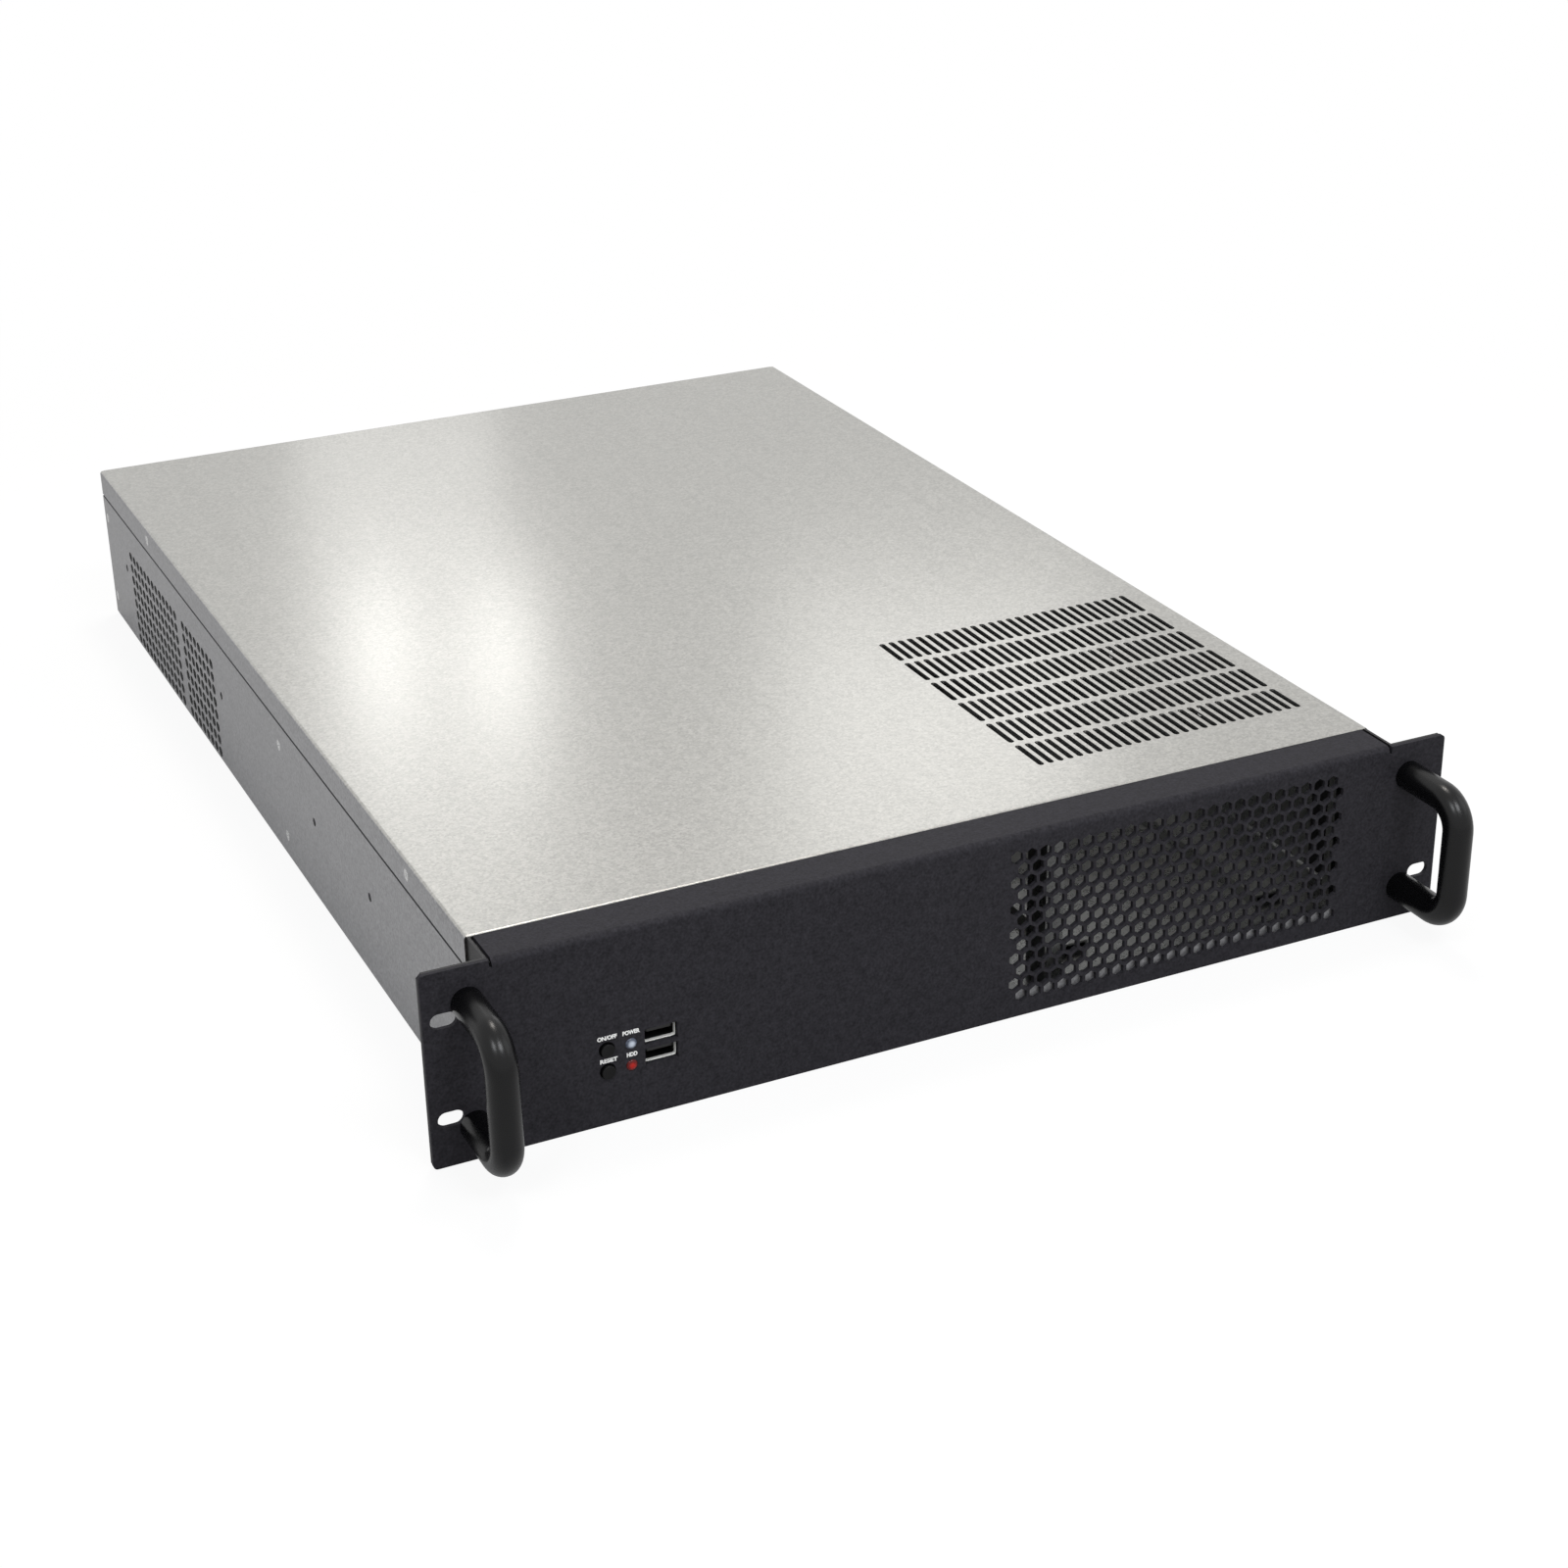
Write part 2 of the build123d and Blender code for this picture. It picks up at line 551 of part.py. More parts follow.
def slot_cover(x):
    """Blanking plate behind one card slot, with a stiffening tab at the top."""
    rear = REAR_INNER
    front = rear - COVER_PLATE_SHEET
    half = COVER_PLATE_WIDTH / 2
    z = (SLOT_BASE - COVER_PLATE_OVER / 2, SLOT_BASE + SLOT_TALL + COVER_PLATE_OVER)
    plate = block((x - half, x + half), (front, rear), z)
    tab = block(
        (x - half, x + half), (rear - COVER_PLATE_TAB, rear), (z[1] - COVER_PLATE_SHEET, z[1])
    )
    return plate + tab


def inlet_outline(margin):
    """Oblong with two cut corners, as on an appliance inlet."""
    width, height = INLET_WIDTH + 2 * margin, INLET_HEIGHT + 2 * margin
    shape = Sketch() + Rectangle(width, height)
    upper = shape.vertices().group_by(Axis.Y)[-1]
    return chamfer(upper, INLET_CHAMFER)


def power_inlet():
    """Inlet socket: body through the rear panel, rim outside, recess with three pins."""
    at = Pos(INLET_X, INLET_Z)
    body = through(at * inlet_outline(0), (REAR_FACE - INLET_DEPTH, REAR_FACE))
    rim = through(at * inlet_outline(INLET_RIM / 2), (REAR_FACE, REAR_FACE + INLET_RIM / 2))
    recess = through(
        at * inlet_outline(-INLET_WALL), (REAR_FACE - INLET_DEPTH + INLET_WALL, REAR_FACE + INLET_RIM / 2)
    )
    inlet = body + rim - recess
    places = (
        (-INLET_PIN_SPACING, -INLET_PIN_DROP), (0, INLET_EARTH_RISE), (INLET_PIN_SPACING, -INLET_PIN_DROP)
    )
    for x, z in places:
        pin = Pos(INLET_X + x, INLET_Z + z) * Rectangle(INLET_PIN, 2 * INLET_PIN)
        inlet += through(pin, (REAR_FACE - INLET_DEPTH + INLET_WALL, REAR_FACE - INLET_WALL))
    return inlet


def board_standoffs():
    """Hexagon posts on the floor at the main board's hole pattern."""
    edge_x = IO_X + IO_WIDTH / 2 + BOARD_EDGE
    last = REAR_INNER - BOARD_REAR_ROW
    post = extrude(RegularPolygon(STANDOFF_FLATS / 2, 6, major_radius=False), amount=STANDOFF_HEIGHT)
    return Part() + [
        Pos(edge_x - column, from_front(last - row), SHEET) * post
        for column in (0, BOARD_MIDDLE_COLUMN, BOARD_FAR_COLUMN)
        for row in (0, BOARD_MIDDLE_ROW, BOARD_FAR_ROW)
    ]


def switch_body(z):
    """Small push switch on the control board."""
    square = Rectangle(SWITCH_SIZE, SWITCH_SIZE)
    return through(Pos(BUTTON_X, z) * square, (SWITCH_FRONT, BOARD_FRONT))


def button(z):
    """Round cap that stands proud of the panel, its square collar and the stem to its switch."""
    collar = PANEL_SHEET + COLLAR_GAP
    tip = SWITCH_FRONT - BUTTON_TRAVEL - COLLAR_GAP
    at = Pos(BUTTON_X, z)
    cap = rod(BUTTON_CAP, BUTTON_X, z, (-BUTTON_PROUD, collar))
    cap += through(at * Rectangle(BUTTON_COLLAR, BUTTON_COLLAR), (collar, collar + COLLAR_THICK))
    return cap + through(at * Rectangle(BUTTON_STEM, BUTTON_STEM), (collar, tip))


def lamp(z):
    """Round lamp that stands in its panel hole, with a light pipe from the board."""
    return rod(LAMP_DIAMETER, LAMP_X, z, (-LAMP_PROUD, BOARD_FRONT))


def usb_shell(z):
    """Metal sleeve of one USB socket, soldered to the board."""
    outer = Pos(USB_X, z) * Rectangle(USB_WIDTH, USB_HEIGHT)
    inner = Pos(USB_X, z) * Rectangle(USB_WIDTH - 2 * USB_WALL, USB_HEIGHT - 2 * USB_WALL)
    return through(outer - inner, (USB_RECESS, BOARD_FRONT - SHEET)) + through(
        outer, (BOARD_FRONT - SHEET, BOARD_FRONT)
    )


def usb_tongue(z):
    """Plastic tongue with the contacts, in the upper half of its shell."""
    drop = USB_HEIGHT / 2 - USB_WALL - SHEET / 2 - USB_TONGUE / 2
    tongue = Pos(USB_X, z + drop) * Rectangle(USB_WIDTH - 4 * USB_WALL - SHEET, USB_TONGUE)
    return through(tongue, (USB_RECESS + USB_WALL, BOARD_FRONT - SHEET))


def control_board():
    """Circuit board that carries the switches, lamps and USB sockets."""
    x = (BUTTON_X - SWITCH_SIZE / 2 - 2 * BOARD_MARGIN, USB_X + USB_WIDTH / 2 + 2 * BOARD_MARGIN)
    z = (LOWER_ROW_Z - BOARD_MARGIN, USB_UPPER_Z + BOARD_MARGIN)
    return block(x, (BOARD_FRONT, BOARD_FRONT + BOARD_SHEET), z)


def control_posts():
    """Two studs behind the panel that carry the control board, one at each end."""
    left = BUTTON_X - SWITCH_SIZE / 2 - BOARD_MARGIN
    right = USB_X + USB_WIDTH / 2 + BOARD_MARGIN
    z = (UPPER_ROW_Z + LOWER_ROW_Z) / 2
    post = RegularPolygon(POST_FLATS / 2, 6, major_radius=False)
    posts = Sketch() + [Pos(x, z) * post for x in (left, right)]
    return through(posts, (PANEL_SHEET, BOARD_FRONT))


def nodes():
    """Every piece of the case, by name."""
    parts = {
        "front_panel": front_panel(),
        "ear_bracket_left": ear_bracket(-1),
        "ear_bracket_right": ear_bracket(1),
        "front_handles": front_handles(),
        "chassis_tray": chassis_tray(),
        "front_crossbar": front_crossbar(),
        "top_cover": top_cover(),
        "fan_wall": fan_wall(),
        "drive_cage": drive_cage(),
        "supply_frame": supply_frame(),
        "supply_runners": supply_runners(),
        "rear_panel": rear_panel(),
        "power_inlet": power_inlet(),
        "board_standoffs": board_standoffs(),
        "control_board": control_board(),
        "control_board_posts": control_posts(),
        "power_switch": switch_body(UPPER_ROW_Z),
        "reset_switch": switch_body(LOWER_ROW_Z),
        "power_button": button(UPPER_ROW_Z),
        "reset_button": button(LOWER_ROW_Z),
        "power_lamp": lamp(UPPER_ROW_Z),
        "disk_lamp": lamp(LOWER_ROW_Z),
        "usb_shell_upper": usb_shell(USB_UPPER_Z),
        "usb_shell_lower": usb_shell(USB_LOWER_Z),
        "usb_tongue_upper": usb_tongue(USB_UPPER_Z),
        "usb_tongue_lower": usb_tongue(USB_LOWER_Z),
    }
    for index, x in enumerate(slot_centres(), start=1):
        parts[f"slot_cover_{index}"] = slot_cover(x)
    return parts


os.makedirs("parts", exist_ok=True)
for name, part in nodes().items():
    export_step(part, f"parts/{name}.step")
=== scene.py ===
"""Looks of an empty 2U rackmount server case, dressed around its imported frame.

Every length in the classes is in millimetres, measured as in the part's own source:
x to the right seen from the front, depth behind the face of the front panel, z up
from the floor. `place` turns them to the frame's metres.
"""
import logging
import math
from collections.abc import Iterable, Iterator
from contextlib import contextmanager
from dataclasses import dataclass, field
from enum import Enum

import bmesh
import bpy
import numpy as np
from mathutils import Matrix, Vector


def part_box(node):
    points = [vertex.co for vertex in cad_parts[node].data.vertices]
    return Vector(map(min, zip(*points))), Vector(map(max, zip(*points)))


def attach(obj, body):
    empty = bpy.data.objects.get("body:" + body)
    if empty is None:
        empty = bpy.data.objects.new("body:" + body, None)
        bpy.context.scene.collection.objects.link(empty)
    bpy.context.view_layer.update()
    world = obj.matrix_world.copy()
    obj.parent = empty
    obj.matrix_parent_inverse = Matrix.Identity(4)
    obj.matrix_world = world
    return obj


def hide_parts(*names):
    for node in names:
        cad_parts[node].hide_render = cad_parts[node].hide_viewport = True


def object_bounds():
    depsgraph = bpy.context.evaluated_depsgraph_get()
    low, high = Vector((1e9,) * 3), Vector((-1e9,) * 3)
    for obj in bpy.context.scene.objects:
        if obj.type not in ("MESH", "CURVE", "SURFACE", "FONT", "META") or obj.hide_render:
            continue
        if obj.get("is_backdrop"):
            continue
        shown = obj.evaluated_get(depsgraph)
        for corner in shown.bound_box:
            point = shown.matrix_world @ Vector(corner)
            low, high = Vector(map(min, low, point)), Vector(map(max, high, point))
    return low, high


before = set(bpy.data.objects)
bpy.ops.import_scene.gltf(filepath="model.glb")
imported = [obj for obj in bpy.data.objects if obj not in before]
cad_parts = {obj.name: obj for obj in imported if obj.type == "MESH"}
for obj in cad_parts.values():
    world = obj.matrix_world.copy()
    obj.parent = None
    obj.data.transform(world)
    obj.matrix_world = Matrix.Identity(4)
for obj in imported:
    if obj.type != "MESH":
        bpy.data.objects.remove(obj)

CAD_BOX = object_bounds()
FRONT_Y = float(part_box("front_panel")[0].y)
MM = 0.001
TAU = 2 * math.pi
WHITE = (1.0, 1.0, 1.0, 1.0)

# Numbers of the slot covers at the rear.
SLOT_COVERS = range(1, 8)
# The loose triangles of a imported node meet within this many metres.
JOIN_GAP = 2e-6
# A face looks along an axis where its normal has more than this share of it.
ALONG = 0.5
# A face belongs to a rounded fold where its normal has less than this share of every axis.
FLAT = 0.9995
# Edges that turn by more than these angles are sharp: beside a fold, between rings, before a round.
FOLD_ANGLE = math.radians(20)
RING_ANGLE = math.radians(35)
CORNER_ANGLE = 0.8

Piece = bpy.types.Object
Tree = bpy.types.NodeTree
Socket = bpy.types.NodeSocket
Point = tuple[float, float, float]
Colour = tuple[float, ...]

log = logging.getLogger("server_case")


class Body(Enum):
    """The bodies that a piece can ride on."""

    CASE = "case"
    COVER = "cover"
    POWER_BUTTON = "power_button_body"
    RESET_BUTTON = "reset_button_body"


class Facing(Enum):
    """Which way a small fitting looks out of the case: its outward axis and two axes across it."""

    FRONT = ((0, -1, 0), (1, 0, 0), (0, 0, 1))
    REAR = ((0, 1, 0), (-1, 0, 0), (0, 0, 1))
    LEFT = ((-1, 0, 0), (0, -1, 0), (0, 0, 1))
    RIGHT = ((1, 0, 0), (0, 1, 0), (0, 0, 1))


# Geometry


def place(points: np.ndarray | Point) -> np.ndarray:
    """Turns points in millimetres (x, depth, z) to the frame's metres.

    Args:
        points: array whose last axis holds x, depth behind the front face, and z.

    Returns:
        The same points in metres, as (x, y, z).
    """
    moved = np.asarray(points, float) * MM
    moved[..., 1] += FRONT_Y
    return moved


def extent(node: str) -> tuple[np.ndarray, np.ndarray]:
    """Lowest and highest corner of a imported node, in millimetres (x, depth, z).

    Args:
        node: the CAD node.

    Returns:
        The two corners.
    """
    low, high = (np.array(corner, float) - (0, FRONT_Y, 0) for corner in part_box(node))
    return low / MM, high / MM


def linked(name: str, data: bpy.types.ID) -> Piece:
    """Puts new data into the scene, as an object at the origin.

    Args:
        name: name of the object.
        data: its mesh, text, lamp or camera.

    Returns:
        The object.
    """
    thing = bpy.data.objects.new(name, data)
    bpy.context.scene.collection.objects.link(thing)
    return thing


def shown_mesh(thing: Piece) -> bpy.types.Mesh:
    """New mesh of an object, as its modifiers or its text make it."""
    shown = thing.evaluated_get(bpy.context.evaluated_depsgraph_get())
    return bpy.data.meshes.new_from_object(shown)


@contextmanager
def editing(source: bpy.types.Mesh, target: bpy.types.Mesh | None = None) -> Iterator[bmesh.types.BMesh]:
    """Opens a mesh for editing and writes it back at the end.

    Args:
        source: the mesh that is read.
        target: the mesh that is written, if it is another one.

    Yields:
        The open mesh.
    """
    shell = bmesh.new()
    shell.from_mesh(source)
    yield shell
    shell.to_mesh(target or source)
    shell.free()


def values(items: bpy.types.bpy_prop_collection, key: str) -> np.ndarray:
    """One vector of every vertex or face of a mesh.

    Args:
        items: the vertices or the faces.
        key: name of the vector, such as normal.

    Returns:
        Array (n, 3).
    """
    found = np.empty(len(items) * 3, np.float32)
    items.foreach_get(key, found)
    return found.reshape(-1, 3)


def new_piece(name: str, vertices: np.ndarray, faces: list[list[int]]) -> Piece:
    """Makes an object at the origin from placed vertices.

    Args:
        name: name of the piece.
        vertices: array (n, 3) in metres.
        faces: vertex numbers of each face.

    Returns:
        The linked object.
    """
    mesh = bpy.data.meshes.new(name)
    mesh.from_pydata(vertices.reshape(-1, 3).tolist(), [], faces)
    mesh.validate()
    return linked(name, mesh)


def ring_faces(rows: int, columns: int, start: int = 0) -> list[list[int]]:
    """Faces of a closed stack of rings: quads between neighbours, one face on each end.

    Args:
        rows: number of rings.
        columns: points in each ring.
        start: number of the first vertex.

    Returns:
        The faces, which point outwards for rings that turn anticlockwise about the way that
        they advance.
    """
    row, column = np.meshgrid(np.arange(rows - 1), np.arange(columns), indexing="ij")
    beside = (column + 1) % columns
    quads = np.stack(
        [row * columns + column, row * columns + beside,
         (row + 1) * columns + beside, (row + 1) * columns + column], axis=-1,
    ).reshape(-1, 4) + start
    first = np.arange(columns)[::-1] + start
    last = np.arange(columns) + (rows - 1) * columns + start
    return quads.tolist() + [first.tolist(), last.tolist()]


def recalculate(piece: Piece) -> None:
    """Turns every closed shell of a piece outwards."""
    with editing(piece.data) as shell:
        bmesh.ops.recalc_face_normals(shell, faces=shell.faces)


def ring_stack(name: str, stacks: Iterable[np.ndarray]) -> Piece:
    """One piece from several closed stacks of rings.

    Args:
        name: name of the piece.
        stacks: arrays (rings, points, 3) in metres.

    Returns:
        The piece, with smooth faces between its sharp edges.
    """
    vertices: list[np.ndarray] = []
    faces: list[list[int]] = []
    count = 0
    for stack in stacks:
        rows, columns = stack.shape[:2]
        faces += ring_faces(rows, columns, count)
        vertices.append(stack.reshape(-1, 3))
        count += rows * columns
    piece = new_piece(name, np.concatenate(vertices), faces)
    recalculate(piece)
    piece.data.shade_smooth()
    piece.data.set_sharp_from_angle(angle=RING_ANGLE)
    return piece


def superellipse(width: float, height: float, power: float, count: int) -> np.ndarray:
    """Outline that runs from an ellipse (power 2) towards a rectangle (high power).

    The point at angle t is |cos t|^(2/power) and |sin t|^(2/power), each with its sign,
    times half the width and half the height.

    Args:
        width: full width.
        height: full height.
        power: how square it is.
        count: number of points.

    Returns:
        Array (count, 2).
    """
    angle = np.arange(count) / count * TAU + TAU / (2 * count)
    cos, sin = np.cos(angle), np.sin(angle)
    x = np.sign(cos) * np.abs(cos) ** (2 / power) * width / 2
    y = np.sign(sin) * np.abs(sin) ** (2 / power) * height / 2
    return np.stack([x, y], axis=-1)


def obround(length: float, width: float, steps: int = 6) -> np.ndarray:
    """Outline of a slot with round ends: a half circle at each end of its length.

    Args:
        length: overall length, along the first axis.
        width: overall width.
        steps: segments in each half circle.

    Returns:
        Array (2 * (steps + 1), 2).
    """
    half = np.linspace(-TAU / 4, TAU / 4, steps + 1)
    angle = np.concatenate([half, half + TAU / 2])
    shift = np.repeat([1.0, -1.0], steps + 1) * (length - width) / 2
    return np.stack([np.cos(angle) * width / 2 + shift, np.sin(angle) * width / 2], axis=-1)


def polygon(flats: float, sides: int) -> np.ndarray:
    """Regular polygon that stands on a corner.

    Args:
        flats: distance across two opposite flats.
        sides: number of sides.

    Returns:
        Array (sides, 2).
    """
    angle = np.arange(sides) / sides * TAU + TAU / 4
    radius = flats / 2 / math.cos(math.pi / sides)
    return np.stack([np.cos(angle), np.sin(angle)], axis=-1) * radius


def grid(first: Iterable[float], second: Iterable[float]) -> np.ndarray:
    """Every pair of places along two axes, as an array (n, 2)."""
    return np.stack(np.meshgrid(first, second), axis=-1).reshape(-1, 2)


def fitting(facing: Facing, at: Point, outline: np.ndarray, out: np.ndarray) -> np.ndarray:
    """Rings that stand on a wall of the case.

    Each point is the place, plus the outline's two coordinates along the axes across
    the wall, plus its distance out of the wall.

    Args:
        facing: the wall's direction.
        at: place on the wall (x, depth, z) in millimetres.
        outline: array (rings, points, 2).
        out: distance out of the wall, broadcast against (rings, points).

    Returns:
        Array (rings, points, 3) in metres.
    """
    away, across, upward = (np.array(axis, float) for axis in facing.value)
    out = np.broadcast_to(out, outline.shape[:2])
    points = np.array(at, float) + outline[..., :1] * across + outline[..., 1:] * upward
    return place(points + out[..., None] * away)


def prisms(name: str, centres: np.ndarray, outline: np.ndarray, axis: int,
           span: tuple[float, float]) -> Piece:
    """A cutter made of equal prisms: one outline repeated at every centre.

    Args:
        name: name of the cutter.
        centres: array (n, 2), along the two axes other than `axis`.
        outline: array (m, 2), the hole's outline.
        axis: 0, 1 or 2, the direction of the prisms.
        span: where they start and end along it.

    Returns:
        The cutter.
    """
    others = [number for number in range(3) if number != axis]
    count, sides = len(centres), len(outline)
    points = np.zeros((count, 2, sides, 3))
    points[..., others] = centres[:, None, None, :] + outline[None, None, :, :]
    points[..., axis] = np.array(span)[None, :, None]
    faces = [face for index in range(count) for face in ring_faces(2, sides, index * 2 * sides)]
    cutter = new_piece(name, place(points).reshape(-1, 3), faces)
    recalculate(cutter)
    return cutter


def merged_copy(node: str, name: str) -> Piece:
    """Copy of a CAD node's mesh with its loose triangles joined, to finish as a piece.

    Args:
        node: the CAD node.
        name: name of the new piece.

    Returns:
        The copy, at the origin.
    """
    mesh = bpy.data.meshes.new(name)
    with editing(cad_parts[node].data, mesh) as shell:
        bmesh.ops.remove_doubles(shell, verts=shell.verts, dist=JOIN_GAP)
    return linked(name, mesh)


def cut(piece: Piece, cutter: Piece) -> None:
    """Takes the cutter out of the piece for good, and removes the cutter.

    Args:
        piece: the piece, whose mesh becomes the result.
        cutter: a closed mesh.
    """
    modifier = piece.modifiers.new("cut", "BOOLEAN")
    modifier.object = cutter
    modifier.operation = "DIFFERENCE"
    modifier.solver = "EXACT"
    result = shown_mesh(piece)
    piece.modifiers.clear()
    piece.data = result
    bpy.data.objects.remove(cutter)


def close_holes(piece: Piece, low: Point, high: Point, axis: int, sides: int) -> None:
    """Closes the coarse holes of a packed sheet: drops their walls and fills the rims.

    Args:
        piece: the sheet, a merged copy.
        low: lowest corner of the region, in millimetres (x, depth, z).
        high: its highest corner.
        axis: the direction that the holes run in.
        sides: corners of each hole.
    """
    with editing(piece.data) as shell:
        middles = np.array([face.calc_center_median() for face in shell.faces])
        normals = np.array([face.normal for face in shell.faces])
        within = ((middles > place(low)) & (middles < place(high))).all(axis=1)
        inside = within & (np.abs(normals[:, axis]) < ALONG)
        shell.faces.ensure_lookup_table()
        walls = [shell.faces[number] for number in np.flatnonzero(inside)]
        bmesh.ops.delete(shell, geom=walls, context="FACES")
        rims = [edge for edge in shell.edges if edge.is_boundary]
        bmesh.ops.holes_fill(shell, edges=rims, sides=sides)


def round_edge(piece: Piece, low: Point, high: Point, radius: float) -> None:
    """Rounds the sharp edges of a merged copy that lie wholly inside a region.

    The copy is first divided a little behind the edge, so that the wide faces beyond
    keep their corners.

    Args:
        piece: the copy.
        low: lowest corner of the region, in millimetres (x, depth, z).
        high: its highest corner.
        radius: radius of the round, in millimetres.
    """
    low_corner, high_corner = Vector(place(low)), Vector(place(high))
    with editing(piece.data) as shell:
        bmesh.ops.bisect_plane(shell, geom=[*shell.verts, *shell.edges, *shell.faces], dist=1e-7,
                               plane_co=high_corner + Vector((0, 2 * radius * MM, 0)), plane_no=(0, 1, 0))
        sharp = [edge for edge in shell.edges
                 if edge.calc_face_angle(0.0) > CORNER_ANGLE
                 and all(low_corner[axis] < vertex.co[axis] < high_corner[axis]
                         for vertex in edge.verts for axis in range(3))]
        bmesh.ops.bevel(shell, geom=sharp, offset=radius * MM, offset_type="OFFSET", segments=4,
                        profile=0.5, affect="EDGES", clamp_overlap=True)
        log.info("%s: %d edges rounded", piece.name, len(sharp))


def shade_folds(piece: Piece) -> None:
    """Shades the rounded folds of a sheet smooth and its flat faces flat.

    Args:
        piece: the sheet.
    """
    normals = values(piece.data.polygons, "normal")
    piece.data.polygons.foreach_set("use_smooth", np.abs(normals).max(axis=1) < FLAT)
    piece.data.set_sharp_from_angle(angle=FOLD_ANGLE)


def faces_of(piece: Piece) -> tuple[np.ndarray, np.ndarray]:
    """Centres and normals of a piece's faces, as two arrays (n, 3)."""
    return values(piece.data.polygons, "center"), values(piece.data.polygons, "normal")


def inward_faces(piece: Piece) -> np.ndarray:
    """Which faces of a sheet look into the case.

    A face looks inwards where its normal points against its own place, measured from the
    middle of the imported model.

    Args:
        piece: the sheet.

    Returns:
        True or false for each face.
    """
    middle = (np.array(CAD_BOX[0]) + np.array(CAD_BOX[1])) / 2
    centres, normals = faces_of(piece)
    return ((np.abs(normals) > ALONG) & (normals * (centres - middle) < 0)).any(axis=1)


# Finishes


def linear(colour: str) -> Colour:
    """Turns an sRGB hex colour to a linear one.

    Each channel follows the sRGB curve: a straight line near black, then a power of 2.4.

    Args:
        colour: a hash sign and six hex digits.

    Returns:
        Red, green, blue and alpha.
    """
    parts = [int(colour[start:start + 2], 16) / 255 for start in (1, 3, 5)]
    channels = [part / 12.92 if part <= 0.04045 else ((part + 0.055) / 1.055) ** 2.4 for part in parts]
    return (*channels, 1.0)


def empty_tree(owner: bpy.types.Material | bpy.types.World) -> Tree:
    """Turns the nodes of a material or world on, and clears its tree.

    Args:
        owner: the material or world.

    Returns:
        Its empty tree.
    """
    owner.use_nodes = True
    owner.node_tree.nodes.clear()
    return owner.node_tree


def add(tree: Tree, kind: str, inputs: dict[str | int, object] | None = None,
        **settings: object) -> bpy.types.Node:
    """Adds a node, sets its properties, and sets or links its inputs.

    Args:
        tree: the node tree.
        kind: the node's type, without the prefix that all shader nodes have.
        inputs: value or output socket for each input, by name or number.
        **settings: properties of the node.

    Returns:
        The node.
    """
    node = tree.nodes.new("ShaderNode" + kind)
    for name, value in settings.items():
        setattr(node, name, value)
    for name, value in (inputs or {}).items():
        if isinstance(value, Socket):
            tree.links.new(value, node.inputs[name])
        else:
            node.inputs[name].default_value = value
    return node


def scale_of(size: float) -> float:
    """Texture scale at which a pattern's features are about `size` millimetres."""
    return 1 / (size * MM)


@dataclass(frozen=True)
class Finish:
    """What every finish has: its name, colour and gloss, and a fine grain that varies both.

    Attributes:
        name: the material's name.
        colour: sRGB hex.
        dark: share of the colour left in the darkest grain.
        grain: size of the grain in millimetres.
        roughness: middle roughness.
        spread: how far the grain moves the roughness.
        metallic: from 0, none, to 1, bare metal.
        relief: height of the grain in millimetres.
        specular: strength of the mirror-like part, 0.5 for plain plastic.
    """

    name: str
    colour: str
    dark: float = 0.9
    grain: float = 0.8
    roughness: float = 0.5
    spread: float = 0.06
    metallic: float = 0.0
    relief: float = 0.01
    specular: float = 0.5

    def pattern(self, tree: Tree, where: Socket) -> Socket:
        """The grain, from 0 to 1, at the point `where`."""
        return add(tree, "TexNoise", {
            "Vector": where, "Scale": scale_of(self.grain), "Detail": 2.0}).outputs["Fac"]

    def surface(self, tree: Tree, where: Socket, grain: Socket) -> Socket:
        """Height of the relief, from 0 to 1: the grain itself unless a finish says otherwise."""
        return grain

    def tones(self) -> tuple[Colour, Colour]:
        """Linear colours of the darkest and the lightest grain.

        Returns:
            The colour times `dark`, and the colour lightened by as much.
        """
        colour = linear(self.colour)[:3]
        low = tuple(part * self.dark for part in colour) + (1.0,)
        high = tuple(min(1.0, part * (2 - self.dark)) for part in colour) + (1.0,)
        return low, high

    def extras(self, shader: bpy.types.Node) -> None:
        """Settings of the shader that only some finishes have."""

    def material(self) -> bpy.types.Material:
        """Builds the material, or finds the one already built.

        The grain runs from the dark tone to the light one. Its middle part, from 0.3 to
        0.7, moves the roughness over the whole of its spread.

        Returns:
            The material.
        """
        known = bpy.data.materials.get(self.name)
        if known:
            return known
        material = bpy.data.materials.new(self.name)
        tree = empty_tree(material)
        where = add(tree, "TexCoord").outputs["Object"]
        grain = self.pattern(tree, where)
        low, high = self.tones()
        tint = add(tree, "Mix", {0: grain, 6: low, 7: high}, data_type="RGBA")
        gloss = add(tree, "MapRange", {
            "Value": grain, "From Min": 0.3, "From Max": 0.7,
            "To Min": self.roughness - self.spread, "To Max": self.roughness + self.spread})
        bump = add(tree, "Bump", {
            "Height": self.surface(tree, where, grain), "Distance": self.relief * MM, "Strength": 1.0})
        shader = add(tree, "BsdfPrincipled", {
            "Base Color": tint.outputs[2], "Roughness": gloss.outputs[0],
            "Normal": bump.outputs[0], "Metallic": self.metallic, "Specular IOR Level": self.specular})
        self.extras(shader)
        add(tree, "OutputMaterial", {"Surface": shader.outputs[0]})
        return material


